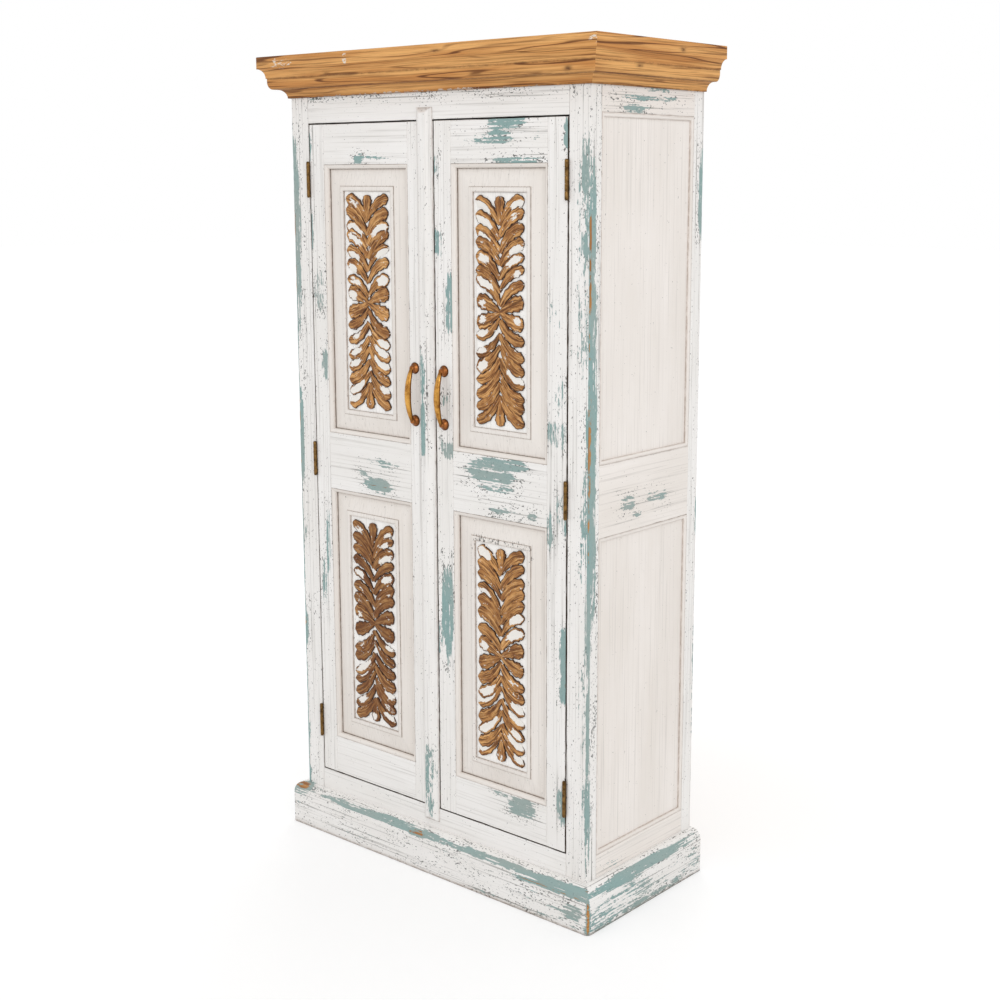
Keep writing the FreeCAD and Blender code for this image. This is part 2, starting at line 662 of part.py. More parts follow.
def mitred_sticks(level, level_limits, upright_limits, depth_limits, outward, stick_width, edge_round):
    """Four mitred sticks round an opening, each with its inner front edge rounded.

    The opening lies along one level axis and upright. The stick's low and high faces on the third axis are
    depth_limits, and outward tells which of them is seen.
    """
    deep = "y" if level == "x" else "x"
    runs = (
        (level, level_limits, "z", 1, upright_limits[0]),
        (level, level_limits, "z", -1, upright_limits[1]),
        ("z", upright_limits, level, 1, level_limits[0]),
        ("z", upright_limits, level, -1, level_limits[1]),
    )
    sticks = []
    for along, (low, high), toward, sense, edge_place in runs:
        stick = doc.addObject("Part::Wedge", "Stick")
        length = "((%s) - (%s))" % (high, low)
        thick = "((%s) - (%s))" % (depth_limits[1], depth_limits[0])
        rules = (
            ("Xmin", "0"), ("Xmax", length),
            ("X2min", stick_width), ("X2max", "%s - %s" % (length, stick_width)),
            ("Ymin", "0"), ("Ymax", stick_width),
            ("Zmin", "0"), ("Zmax", thick), ("Z2min", "0"), ("Z2max", thick),
        )
        for target, rule in rules:
            bind(stick, target, rule)
        across = AXES[toward] * sense
        turn(stick, tuple(AXES[along]), tuple(across))
        rising = AXES[along].cross(across).dot(AXES[deep]) > 0
        spot = {along: low, toward: edge_place, deep: depth_limits[0] if rising else depth_limits[1]}
        place(stick, spot["x"], spot["y"], spot["z"])
        sticks.append(stick)
    doc.recompute()
    rounded = []
    for stick in sticks:
        seen = max(outward * vertex.Point.dot(AXES[deep]) for vertex in stick.Shape.Vertexes)
        shown = []
        for number, edge in enumerate(stick.Shape.Edges, start=1):
            if all(abs(outward * vertex.Point.dot(AXES[deep]) - seen) < 1e-6 for vertex in edge.Vertexes):
                shown.append((edge.Length, number))
        inner_edge = sorted(shown)[-2][1]
        piece = doc.addObject("Part::Fillet", "Rounded")
        piece.Base = stick
        piece.Edges = [(inner_edge, size(edge_round), size(edge_round))]
        rounded.append(piece)
    return rounded


# Beads round the side panels.
for side, sign in SIDES:
    beads = []
    bead_deep = both(sign, "panel_out", "half - bead_set_back")
    for low, high in SIDE_OPENINGS:
        beads += mitred_sticks("y", ("post_depth", "rear_face"), (low, high), bead_deep, sign,
                               "bead_width", "bead_round")
    finish(side + "_side_beads", group(beads))


def tapered_leaf(root, angle, length, leaf_wide):
    """One leaf, narrow at its root and round at its outer end, standing on the ground towards the front."""
    along = FreeCAD.Vector(math.cos(angle), 0, math.sin(angle))
    across = FreeCAD.Vector(-along.z, 0, along.x)
    bulb = root + along * (length - leaf_wide / 2)
    root_side = across * (size("leaf_root") / 2)
    bulb_side = across * (leaf_wide / 2)
    outline = Part.Wire([
        Part.makeLine(root - root_side, bulb - bulb_side),
        Part.Arc(bulb - bulb_side, root + along * length, bulb + bulb_side).toShape(),
        Part.makeLine(bulb + bulb_side, root + root_side),
        Part.makeLine(root + root_side, root - root_side),
    ])
    return Part.Face(outline).extrude(FreeCAD.Vector(0, -size("leaf_height"), 0))


def carved_leaves(ground):
    """Leaves in chevrons on a stem, mirrored about a flower of four petals in the middle of the insert."""
    half_high = ground.ZLength / 2
    half_wide = ground.XLength / 2
    slope = math.radians(size("leaf_slope"))
    petal_slope = math.radians(size("petal_slope"))
    count = int(size("leaf_count"))
    stem = size("stem_width") / 2
    span = half_wide - size("carving_margin") - stem
    reach = span / math.cos(slope)
    tip_room = reach * math.sin(slope) + size("carving_margin")
    pitch = (half_high - size("flower_room") - tip_room) / (count - 1)
    wide = min(size("leaf_width"), pitch * math.cos(slope) - size("carving_room"))
    centre = FreeCAD.Vector(ground.Center.x, ground.YMin, ground.Center.z)
    leaves = []
    for way in (1, -1):
        for hand in (1, -1):
            for number in range(count):
                rise = size("flower_room") + pitch * number
                root = centre + FreeCAD.Vector(hand * stem, 0, way * rise)
                angle = slope if hand > 0 else math.pi - slope
                leaves.append(tapered_leaf(root, way * angle, reach, wide))
            petal_root = centre + FreeCAD.Vector(hand * stem, 0, way * stem)
            petal_angle = petal_slope if hand > 0 else math.pi - petal_slope
            leaves.append(tapered_leaf(petal_root, way * petal_angle, span / math.cos(petal_slope), wide))
        end_rise = half_high - size("carving_margin") - size("end_leaf")
        end_root = centre + FreeCAD.Vector(0, 0, way * end_rise)
        leaves.append(tapered_leaf(end_root, way * math.pi / 2, size("end_leaf"), wide))
    piece = doc.addObject("Part::Feature", "Leaves")
    piece.Shape = leaves[0].multiFuse(leaves[1:])
    return piece


def handle(side, centre):
    """A bow on two feet, its rosettes and the bolts that hold it from behind."""
    feet = ["handle_place - handle_centres / 2", "handle_place + handle_centres / 2"]
    ring = doc.addObject("Part::Torus", "Ring")
    bind(ring, "Radius1", "bow_ring")
    bind(ring, "Radius2", "bow_radius")
    turn(ring, (0, -1, 0), (0, 0, 1))
    place(ring, centre, "door_front - handle_reach + bow_radius + bow_ring", "handle_place")
    room = "(%s) - 2 * bow_radius" % centre, "(%s) + 2 * bow_radius" % centre
    span = "door_front - handle_reach - bow_radius", "door_front - foot_height"
    keep = block(room, span, ("%s - foot_ball" % feet[0], "%s + foot_ball" % feet[1]))
    bow = doc.addObject("Part::Common", "Bow")
    bow.Base = ring
    bow.Tool = keep
    pieces = [bow]
    bores = []
    rosettes = []
    bolts = []
    for foot in feet:
        start = (centre, "door_front - rosette_thick", foot)
        pieces.append(rod("foot_radius", start, "foot_height - rosette_thick + bow_radius / 2", "-y"))
        ball = doc.addObject("Part::Sphere", "Ball")
        bind(ball, "Radius", "foot_ball")
        place(ball, centre, "door_front - foot_height - bow_radius / 2", foot)
        pieces.append(ball)
        seat = (centre, "door_front", foot)
        bores.append(rod("bolt_radius + pin_fit", seat, "bolt_entry + groove_room", "-y"))
        base = taper("rosette_radius", "rosette_rim", seat, "rosette_thick", "-y")
        rosettes.append(cut(base, rod("bolt_radius + pin_fit", seat, "bolt_entry", "-y")))
        shank = rod("bolt_radius", (centre, "door_back", foot), "door_thick + bolt_entry", "-y")
        head = rod("bolt_head", (centre, "door_back", foot), "bolt_head_thick", "y")
        bolts.append(join(shank, head))
    finish(side + "_door_handle", group([cut(join(*pieces), *bores)] + rosettes + bolts))


def bolt_holes(centre):
    feet = ("handle_place - handle_centres / 2", "handle_place + handle_centres / 2")
    return [rod("bolt_radius + pin_fit", (centre, "door_front", foot), "door_thick", "y") for foot in feet]


# Openings of a door: lower edge and upper edge.
DOOR_OPENINGS = (("door_upper_low", "door_upper_high"), ("door_lower_low", "door_lower_high"))
DOOR_RAILS = (
    ("top", "door_upper_high", "door_top"),
    ("middle", "door_lower_high", "door_upper_low"),
    ("bottom", "door_low", "door_lower_low"),
)
DOOR_DEEP = ("door_front", "door_back")
TONGUE_DEEP = ("tongue_front", "tongue_back")


def grown(limits, extra):
    """A pair of limits pushed apart by some extra on each side, or drawn together where it is negative."""
    return "(%s) - (%s)" % (limits[0], extra), "(%s) + (%s)" % (limits[1], extra)


def door_panel(opening, upright):
    """A raised panel: tongue all round, sloped border, lip, and a pocket for the carving."""
    plate = block(grown(opening, "tongue_entry"), TONGUE_DEEP, grown(upright, "tongue_entry"))
    slope = doc.addObject("Part::Wedge", "Slope")
    near = grown(opening, "-lip_inset") + grown(upright, "-lip_inset")
    far = grown(opening, "-moulding_width") + grown(upright, "-moulding_width")
    for target, rule in zip(("Xmin", "Xmax", "Zmin", "Zmax"), near):
        bind(slope, target, rule)
    for target, rule in zip(("X2min", "X2max", "Z2min", "Z2max"), far):
        bind(slope, target, rule)
    bind(slope, "Ymin", "bevel_front")
    bind(slope, "Ymax", "tongue_front")
    place(slope, "0", "0", "0")
    lip = block(grown(opening, "-lip_inset"), ("lip_front", "tongue_back"), grown(upright, "-lip_inset"))
    pocket_wide = grown(opening, "-pocket_inset")
    pocket = block(pocket_wide, ("lip_front", "pocket_back"), grown(upright, "-pocket_inset"))
    return cut(join(plate, slope, lip), pocket)


def door_tenon(edge, sense, low, high, room):
    """A rail's tenon that enters a stile from its inner edge, or its mortise where room is added."""
    end = "(%s) + door_tenon + (%s)" % (edge, room)
    wide = (edge, end)
    if sense < 0:
        wide = ("(%s) - door_tenon - (%s)" % (edge, room), edge)
    return block(wide, TONGUE_DEEP, inside(low, high))


# Doors: side, hinge sign, outer limits across, width of the stile at the low and at the high limit, handle.
DOORS = (
    ("left", -1, ("-door_edge", "left_meet"), ("left_hinge_stile", "left_meeting_stile"),
     ("hinge", "meeting"), "left_meet - left_handle_inset"),
    ("right", 1, ("right_meet", "door_edge"), ("right_meeting_stile", "right_hinge_stile"),
     ("meeting", "hinge"), "right_meet + right_handle_inset"),
)
for side, sign, across, stiles, stile_names, handle_centre in DOORS:
    opening = ("%s + %s" % (across[0], stiles[0]), "%s - %s" % (across[1], stiles[1]))
    groove_reach = "tongue_entry + groove_room"

    def grooves():
        return [block(grown(opening, groove_reach), TONGUE_DEEP, grown(upright, groove_reach))
                for upright in DOOR_OPENINGS]

    stile_limits = ((across[0], opening[0]), (opening[1], across[1]))
    for end, sense in ((0, -1), (1, 1)):
        cuts = grooves()
        cuts += [door_tenon(opening[end], sense, low, high, "groove_room") for name, low, high in DOOR_RAILS]
        cuts += screw_holes(sign, True) if stile_names[end] == "hinge" else bolt_holes(handle_centre)
        stile = block(stile_limits[end], DOOR_DEEP, ("door_low", "door_top"))
        finish("%s_door_%s_stile" % (side, stile_names[end]), cut(stile, *cuts))
    for name, low, high in DOOR_RAILS:
        rail = block(opening, DOOR_DEEP, (low, high))
        tenons = [door_tenon(opening[end], sense, low, high, "0") for end, sense in ((0, -1), (1, 1))]
        finish("%s_door_%s_rail" % (side, name), cut(join(rail, *tenons), *grooves()))
    finish(side + "_door_panels", group([door_panel(opening, upright) for upright in DOOR_OPENINGS]))
    sticks = []
    for upright in DOOR_OPENINGS:
        sticks += mitred_sticks("x", opening, upright, ("door_front + moulding_set_back", "tongue_front"), -1,
                                "moulding_width", "moulding_round")
    finish(side + "_door_mouldings", group(sticks))
    inserts = []
    for upright in DOOR_OPENINGS:
        wide = grown(opening, "-pocket_inset - carving_room")
        high = grown(upright, "-pocket_inset - carving_room")
        inserts.append(block(wide, ("carving_ground", "pocket_back"), high))
    doc.recompute()
    carvings = []
    for ground in inserts:
        leaves = carved_leaves(ground.Shape.BoundBox)
        carvings.append(join(ground, leaves))
    finish(side + "_door_carvings", group(carvings))
    handle(side, handle_centre)
    finish(side + "_door_hinge_leaves", group(hinge_leaves(sign, True)))
    finish(side + "_door_hinge_screws", group(hinge_screws(sign, True)))
    catch_centre = "meeting_place + (%s)" % signed(sign, "catch_offset")
    catch_wide = grown((catch_centre, catch_centre), "catch_width / 2")
    nose_high = ("face_high - catch_below", "face_high - catch_below + catch_nose")
    finish(side + "_door_catch_plate", block(catch_wide, ("door_back", "door_back + plate_thick"), nose_high))

strip = doc.addObject("Part::Wedge", "Strip")
strip_back = ("left_meet - strip_width", "left_meet", "door_low - strip_under", "door_top + strip_over")
strip_front = grown(strip_back[:2], "-strip_bevel") + grown(strip_back[2:], "-strip_proud")
for target, rule in zip(("Xmin", "Xmax", "Zmin", "Zmax"), strip_front):
    bind(strip, target, rule)
for target, rule in zip(("X2min", "X2max", "Z2min", "Z2max"), strip_back):
    bind(strip, target, rule)
bind(strip, "Ymin", "door_front - strip_proud")
bind(strip, "Ymax", "door_front")
place(strip, "0", "0", "0")
finish("left_door_cover_strip", strip)

# Fixed halves of the hinges and of the catches.
fixed_leaves = []
fixed_screws = []
pins = []
catches = []
for side, sign in SIDES:
    fixed_leaves += hinge_leaves(sign, False)
    fixed_screws += hinge_screws(sign, False)
    pins += hinge_pins(sign)
    catch_centre = "meeting_place + (%s)" % signed(sign, "catch_offset")
    catch_wide = grown((catch_centre, catch_centre), "catch_width / 2")
    body = block(catch_wide, ("post_depth", "post_depth + catch_thick"),
                 ("face_high - catch_below", "face_high + catch_above"))
    nose = block(catch_wide, ("catch_face", "post_depth"),
                 ("face_high - catch_below", "face_high - catch_below + catch_nose"))
    catches.append(join(body, nose))
finish("hinge_frame_leaves", group(fixed_leaves))
finish("hinge_frame_screws", group(fixed_screws))
finish("hinge_pins", group(pins))
finish("door_catches", group(catches))

doc.recompute()
failed = [piece.Label for piece in doc.Objects if "Invalid" in piece.State or "Error" in piece.State]
for piece in sub_parts:
    if piece.Shape.isNull() or not piece.Shape.isValid() or not piece.Shape.Solids:
        failed.append(piece.Label)
if failed:
    raise RuntimeError("failed objects: " + ", ".join(failed))

os.makedirs("parts", exist_ok=True)
whole = FreeCAD.BoundBox()
for piece in sub_parts:
    piece.Shape.exportStep("parts/%s.step" % piece.Label)
    whole.add(piece.Shape.BoundBox)
    print(piece.Label, len(piece.Shape.Solids), "solids", round(piece.Shape.Volume / 1000), "cm3")
print(len(sub_parts), "sub-parts in", whole)
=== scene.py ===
# %% [markdown]
# This lesson dresses a tall two-door cabinet: white paint rubbed through to an older teal coat and to bare
# wood, a cornice of natural wood, and carved leaves set into the four door panels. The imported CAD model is
# the frame: every board we make here goes where its CAD node is, in metres, so nothing has to be fitted by
# eye.

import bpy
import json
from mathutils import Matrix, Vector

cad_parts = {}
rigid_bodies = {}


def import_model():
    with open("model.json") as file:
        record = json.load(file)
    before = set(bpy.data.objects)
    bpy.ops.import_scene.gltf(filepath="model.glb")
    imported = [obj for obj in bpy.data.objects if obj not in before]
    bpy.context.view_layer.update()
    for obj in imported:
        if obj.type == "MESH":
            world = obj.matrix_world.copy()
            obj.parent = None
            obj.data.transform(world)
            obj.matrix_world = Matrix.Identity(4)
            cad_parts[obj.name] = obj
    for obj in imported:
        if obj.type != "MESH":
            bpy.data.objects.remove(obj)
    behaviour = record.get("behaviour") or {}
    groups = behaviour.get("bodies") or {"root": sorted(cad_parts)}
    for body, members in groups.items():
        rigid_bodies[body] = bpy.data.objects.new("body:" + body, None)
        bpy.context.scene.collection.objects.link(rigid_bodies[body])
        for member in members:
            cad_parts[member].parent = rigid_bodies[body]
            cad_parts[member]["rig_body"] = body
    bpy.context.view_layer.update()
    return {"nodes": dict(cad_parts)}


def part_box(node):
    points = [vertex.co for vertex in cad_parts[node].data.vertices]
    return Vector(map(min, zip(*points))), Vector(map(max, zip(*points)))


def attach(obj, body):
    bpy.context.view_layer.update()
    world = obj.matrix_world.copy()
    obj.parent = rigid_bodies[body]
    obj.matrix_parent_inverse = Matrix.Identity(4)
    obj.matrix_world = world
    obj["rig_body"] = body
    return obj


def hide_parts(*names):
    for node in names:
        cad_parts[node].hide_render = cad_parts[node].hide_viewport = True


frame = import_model()

# %% [markdown]
# The photograph was taken from the right, a little above the middle of the cabinet, with a short telephoto
# lens. A camera in Blender looks along its own -Z axis, so turning it by 90 degrees about X makes it look
# level along +Y; the azimuth and pitch are added to that. A small lens shift puts the cabinet where the
# photo has it in the frame.

# %% Camera
import math

import bpy
import numpy as np
from mathutils import Vector, noise

CAMERA_PLACE = (2.26761, -2.50849, 1.53183)
CAMERA_AZIMUTH, CAMERA_PITCH = math.radians(40.400), math.radians(-10.309)
SENSOR_WIDE, LENS = 36.0, 55.42
SHIFT_ACROSS, SHIFT_UP = -0.0287, -0.040


def in_scene(name, data):
    """A new object that holds the data, linked into the scene."""
    thing = bpy.data.objects.new(name, data)
    bpy.context.scene.collection.objects.link(thing)
    return thing


photo_lens = bpy.data.cameras.new("photo_camera")
photo_lens.sensor_width, photo_lens.lens = SENSOR_WIDE, LENS
photo_lens.shift_x, photo_lens.shift_y = SHIFT_ACROSS, SHIFT_UP
camera = in_scene("photo_camera", photo_lens)
camera.location = CAMERA_PLACE
camera.rotation_euler = (math.pi / 2 + CAMERA_PITCH, 0.0, CAMERA_AZIMUTH)
bpy.context.scene.camera = camera
bpy.context.scene.view_settings.view_transform = "Standard"
print("camera at", CAMERA_PLACE, "with a lens of", LENS, "mm")

# %% [markdown]
# Materials are trees of nodes. A small builder keeps the finishes below readable: each method adds one
# node, sets or links its sockets, and hands back the socket that holds its result. Colours are written as
# they look on a screen, from 0 to 255, and turned into the linear values that the render works with.


# %% A builder for finishes
def tint(red, green, blue):
    """A screen colour from 0 to 255 as the linear colour that a node expects."""
    parts = [value / 255 for value in (red, green, blue)]
    return tuple(v / 12.92 if v <= 0.04045 else ((v + 0.055) / 1.055) ** 2.4 for v in parts) + (1.0,)


class Finish:
    """The tree of a material or a world being built: each method adds a node and returns its result."""

    def __init__(self, owner):
        owner.use_nodes = True
        self.owner = owner
        self.tree = owner.node_tree
        self.tree.nodes.clear()

    def add(self, kind, inputs, result=0, **settings):
        made = self.tree.nodes.new("ShaderNode" + kind)
        for name, value in settings.items():
            setattr(made, name, value)
        for place, value in inputs.items():
            if isinstance(value, bpy.types.NodeSocket):
                self.tree.links.new(value, made.inputs[place])
            else:
                made.inputs[place].default_value = value
        return made.outputs[result]

    def note(self, name, result="Fac"):
        """A value that the points of a piece carry."""
        return self.add("Attribute", {}, result, attribute_name=name)

    def place(self):
        return self.add("TexCoord", {}, "Object")

    def cloud(self, vector, scale, detail, rough):
        inputs = {"Vector": vector, "Scale": scale, "Detail": detail, "Roughness": rough}
        return self.add("TexNoise", inputs)

    def drawn(self, slow, scale, detail, rough):
        """Noise drawn out along the grain of a board; slow is how slowly it changes that way."""
        stretch = {0: self.note("spot", "Vector"), 1: (slow, 1.0, 1.0)}
        return self.cloud(self.add("VectorMath", stretch, operation="MULTIPLY"), scale, detail, rough)

    def fade(self, value, low, high, start=0.0, end=1.0):
        return self.add("MapRange", {0: value, 1: low, 2: high, 3: start, 4: end})

    def swing(self, value, reach):
        """A noise from 0 to 1 as a swing of this reach either way."""
        return self.fade(value, 0.0, 1.0, -reach, reach)

    def plus(self, *values):
        total = values[0]
        for value in values[1:]:
            total = self.add("Math", {0: total, 1: value}, operation="ADD")
        return total

    def times(self, first, second):
        return self.add("Math", {0: first, 1: second}, operation="MULTIPLY")

    def blend(self, amount, first, second):
        return self.add("Mix", {0: amount, 6: first, 7: second}, 2, data_type="RGBA")

    def end(self, surface, kind="Material"):
        out = self.tree.nodes.new("ShaderNodeOutput" + kind)
        self.tree.links.new(surface, out.inputs["Surface"])

    def done(self, colour, roughness, height, depth, metallic=0.0, specular=0.35):
        """End the tree in one shader, with a relief of this height and depth, and return the material."""
        normal = self.add("Bump", {"Height": height, "Distance": depth, "Strength": 1.0})
        inputs = {"Base Color": colour, "Roughness": roughness, "Normal": normal}
        inputs.update({"Metallic": metallic, "Specular IOR Level": specular})
        self.end(self.add("BsdfPrincipled", inputs))
        return self.owner


print("finish builder ready")

# %% [markdown]
# The photo is a studio picture on white with very even light. A plain white sky lights the cabinet from
# all round. The sky is full white to the camera and to mirror-like reflections, while the light that falls
# on the cabinet is set on its own: the page round the cabinet stays white, and the paint is not washed
# out.

# %% Sky
WHITE = (1.0, 1.0, 1.0, 1.0)
SKY_LEVEL = 0.88


def lit_or_seen(finish, lit, seen):
    """One shader for the light itself, another for rays from the camera, from a mirror or through glass."""
    rays = [finish.add("LightPath", {}, f"Is {kind} Ray") for kind in ("Camera", "Glossy", "Transmission")]
    either = finish.add("Math", {0: rays[0], 1: rays[1]}, operation="MAXIMUM")
    looked_at = finish.add("Math", {0: either, 1: rays[2]}, operation="MAXIMUM")
    return finish.add("MixShader", {0: looked_at, 1: lit, 2: seen})


world = bpy.data.worlds.new("studio_sky")
bpy.context.scene.world = world
sky = Finish(world)
lighting = sky.add("Background", {"Color": WHITE, "Strength": SKY_LEVEL})
page = sky.add("Background", {"Color": WHITE, "Strength": 1.0})
sky.end(lit_or_seen(sky, lighting, page), "World")
print("sky level", SKY_LEVEL)

# %% [markdown]
# Under the sky alone the mouldings would look flat. Two large soft lamps in front, the right one stronger,
# give them a light and a dark side, and a third one behind does the same for the back. Small lamps would
# throw hard shadows, which the photo does not have.

# %% Lamps
LAMP_SIDE, LAMP_AIM = 2.4, Vector((0.0, 0.0, 0.9))
LAMPS = {
    "lamp_right": ((3.4, -2.6, 3.0), 40.0),
    "lamp_left": ((-2.2, -4.0, 2.6), 8.0),
    "lamp_back": ((-2.6, 3.4, 3.2), 40.0),
}
for name, (place, power) in LAMPS.items():
    lamp = bpy.data.lights.new(name, "AREA")
    lamp.shape = "SQUARE"
    lamp.size = LAMP_SIDE
    lamp.energy = power
    holder = in_scene(name, lamp)
    holder.location = place
    holder.rotation_euler = (LAMP_AIM - Vector(place)).to_track_quat("-Z", "Y").to_euler()
print(len(LAMPS), "soft lamps,", LAMP_SIDE, "m wide")

# %% [markdown]
# The floor is pale and keeps the cabinet's shadow. A part of its white is added for the camera only, a
# little more of it far out, where the lamps do not reach, so that floor and sky meet without a line.

# %% Floor
FLOOR_HALF = 30.0
FLOOR_TINT, FLOOR_SEEN = (0.82, 0.82, 0.82, 1.0), (0.60, 0.60, 0.60, 1.0)
NEAR, FAR = 0.8, 2.4
NEAR_GLOW, FAR_GLOW = 0.42, 0.50

floor_mesh = bpy.data.meshes.new("studio_floor")
floor_corners = [(a * FLOOR_HALF, b * FLOOR_HALF, 0.0) for a, b in ((-1, -1), (1, -1), (1, 1), (-1, 1))]
floor_mesh.from_pydata(floor_corners, [], [(0, 1, 2, 3)])
studio_floor = in_scene("studio_floor", floor_mesh)

pale_floor = Finish(bpy.data.materials.new("pale_floor"))
away = pale_floor.add("VectorMath", {0: pale_floor.place()}, "Value", operation="LENGTH")
lift = pale_floor.fade(away, NEAR, FAR, NEAR_GLOW, FAR_GLOW)
glow = pale_floor.add("Emission", {"Color": WHITE, "Strength": lift})
lit_floor = pale_floor.add("BsdfDiffuse", {"Color": FLOOR_TINT})
seen_floor = pale_floor.add("AddShader", {0: pale_floor.add("BsdfDiffuse", {"Color": FLOOR_SEEN}), 1: glow})
pale_floor.end(lit_or_seen(pale_floor, lit_floor, seen_floor))
floor_mesh.materials.append(pale_floor.owner)
print("floor", 2 * FLOOR_HALF, "m wide")

# %% [markdown]
# The paint is the character of this cabinet. On the real one, a white coat lies over a teal coat over bare
# wood, and it was sanded back along the arrises and in patches. Painting this by hand would need an image;
# here the patches are a short list of places, board by board, and noise drawn out along the grain gives
# each patch its torn outline. A patch says from where to where it goes in millimetres, first level and
# then upright, and how far the paint is gone; a negative amount leaves the paint whole and only spots it
# with dark flecks. On a side, the level measure starts at the front of the carcass, and both sides are
# worn alike.

# %% Worn places on the sides
MM = 0.001
SPOTTED, FLECKED, RUBBED, BARE, WOODY = -0.25, 0.13, 0.27, 0.42, 0.88

SIDE_PATCHES = {
    "front_post": [
        (-30, 30, 430, 1690, 0.36), (-12, 12, 90, 1690, BARE), (-16, 18, 60, 470, RUBBED),
        (-4, 3, 560, 1570, 0.68), (-5, 5, 1390, 1480, WOODY), (-5, 6, 1260, 1345, WOODY),
        (-5, 5, 955, 1065, WOODY), (-5, 40, 1690, 1720, SPOTTED)],
    "rear_post": [(358, 400, 1400, 1610, BARE), (366, 395, 765, 865, BARE), (370, 390, 100, 760, FLECKED)],
    "side_top_rail": [
        (60, 330, 1684, 1698, RUBBED), (88, 190, 1658, 1679, RUBBED), (30, 350, 1700, 1720, FLECKED)],
    "side_middle_rail": [
        (95, 165, 860, 905, RUBBED), (178, 280, 860, 905, 0.20), (135, 188, 842, 875, FLECKED)],
    "side_bottom_rail": [(40, 120, 100, 125, FLECKED)],
    "plinth": [
        (-60, 230, -30, 88, 0.20), (-60, 400, 74, 98, 0.38), (150, 400, -30, 80, 0.06),
        (-38, -21, -20, 96, 1.05)],
}
patches = {}
for piece, rows in SIDE_PATCHES.items():
    for hand in ("left", "right"):
        node = f"{hand}_{piece}" if piece.startswith("side") else f"{piece}_{hand}"
        patches[node] = [("side",) + row for row in rows]
print(sum(len(rows) for rows in patches.values()), "worn places on the sides")

# %% [markdown]
# The front has most of the wear: along the corner posts, on the edges of the doors where hands reach for
# them, on the rails, and on the round of the plinth. On the cornice a patch stands for old white paint
# caught in the wood.

# %% Worn places on the front
FRONT_PATCHES = {
    "front_post_left": [
        (-454, -402, 1130, 1690, BARE), (-450, -405, 812, 1105, BARE), (-450, -408, 560, 820, FLECKED),
        (-450, -410, 420, 560, BARE), (-440, -413, 150, 430, FLECKED), (-445, -412, 96, 150, BARE),
        (-432, -420, 480, 524, WOODY), (-430, -370, 1690, 1720, SPOTTED)],
    "front_post_right": [
        (386, 450, 1070, 1700, FLECKED), (400, 440, 100, 1090, FLECKED), (406, 446, 1390, 1600, RUBBED),
        (398, 424, 1380, 1440, BARE), (394, 412, 1240, 1330, RUBBED), (410, 444, 1000, 1100, RUBBED),
        (424, 431, 560, 1570, 0.68), (423, 432, 1390, 1480, WOODY), (422, 432, 1260, 1345, WOODY),
        (422, 432, 955, 1065, WOODY), (370, 430, 1690, 1720, SPOTTED)],
    "left_door_hinge_stile": [
        (-380, -358, 1570, 1642, RUBBED), (-380, -359, 1368, 1465, RUBBED), (-364, -328, 1228, 1347, RUBBED),
        (-350, -322, 1072, 1173, BARE), (-346, -324, 600, 808, RUBBED), (-364, -344, 520, 686, RUBBED)],
    "left_door_top_rail": [(-236, -192, 1564, 1588, BARE), (-198, -105, 1568, 1588, FLECKED)],
    "left_door_middle_rail": [
        (-222, -115, 841, 884, BARE), (-240, -195, 876, 890, RUBBED), (-233, -83, 900, 926, FLECKED)],
    "left_door_cover_strip": [
        (-30, -8, 1060, 1184, RUBBED), (-30, -6, 932, 1080, BARE), (-34, 14, 112, 318, FLECKED)],
    "right_door_meeting_stile": [
        (4, 25, 1540, 1592, RUBBED), (4, 37, 1368, 1440, RUBBED), (39, 66, 1198, 1356, BARE),
        (26, 47, 1054, 1092, RUBBED), (23, 66, 942, 988, BARE), (20, 62, 476, 740, BARE),
        (4, 26, 500, 590, RUBBED)],
    "right_door_top_rail": [
        (145, 280, 1632, 1664, BARE), (72, 247, 1600, 1632, FLECKED), (158, 215, 1613, 1633, RUBBED),
        (275, 325, 1600, 1630, FLECKED), (160, 312, 1562, 1580, RUBBED)],
    "right_door_hinge_stile": [
        (350, 380, 1626, 1650, BARE), (354, 380, 1592, 1624, BARE), (322, 358, 1195, 1315, FLECKED),
        (336, 369, 1058, 1152, RUBBED), (317, 374, 993, 1070, RUBBED), (342, 380, 815, 926, RUBBED),
        (315, 338, 788, 875, RUBBED), (346, 380, 520, 644, BARE), (350, 380, 468, 530, BARE),
        (345, 382, 198, 309, BARE)],
    "right_door_middle_rail": [
        (86, 253, 902, 973, BARE), (188, 277, 940, 972, RUBBED), (122, 245, 891, 911, RUBBED),
        (155, 249, 843, 868, RUBBED), (265, 296, 843, 867, BARE)],
    "right_door_panels": [(110, 276, 768, 805, SPOTTED)],
    "right_door_bottom_rail": [(205, 300, 193, 244, BARE), (166, 224, 222, 243, RUBBED)],
    "face_top_rail": [(-400, 400, 1700, 1722, SPOTTED)],
    "plinth_front": [
        (-520, -390, 66, 108, RUBBED), (-400, 160, 78, 97, 0.22), (60, 330, 78, 97, 0.32),
        (280, 520, 75, 98, BARE), (330, 520, -30, 62, 0.08), (448, 466, -20, 96, 1.05),
        (-480, -395, 84, 106, 0.66), (-74, 0, 76, 94, 0.68), (240, 470, 70, 80, 0.86),
        (385, 445, 18, 62, 0.42)],
    "cornice_front": [
        (-445, -355, 1768, 1800, 0.16), (-203, -184, 1768, 1800, 0.24), (455, 500, 1772, 1800, 0.16),
        (-440, 440, 1706, 1716, 0.24)],
}
for node, rows in FRONT_PATCHES.items():
    patches.setdefault(node, []).extend(("front",) + row for row in rows)
print(sum(len(rows) for rows in patches.values()), "worn places on", len(patches), "boards")

# %% [markdown]
# For every point of a board we then need two numbers: how far the paint is gone, and how thick the dark
# flecks lie. The paint is gone inside a patch, which fades towards its rim, and the flecks go on round it
# as a halo. A patch works only on points near its own face, so wear on the front of a post does not come
# through at its back.

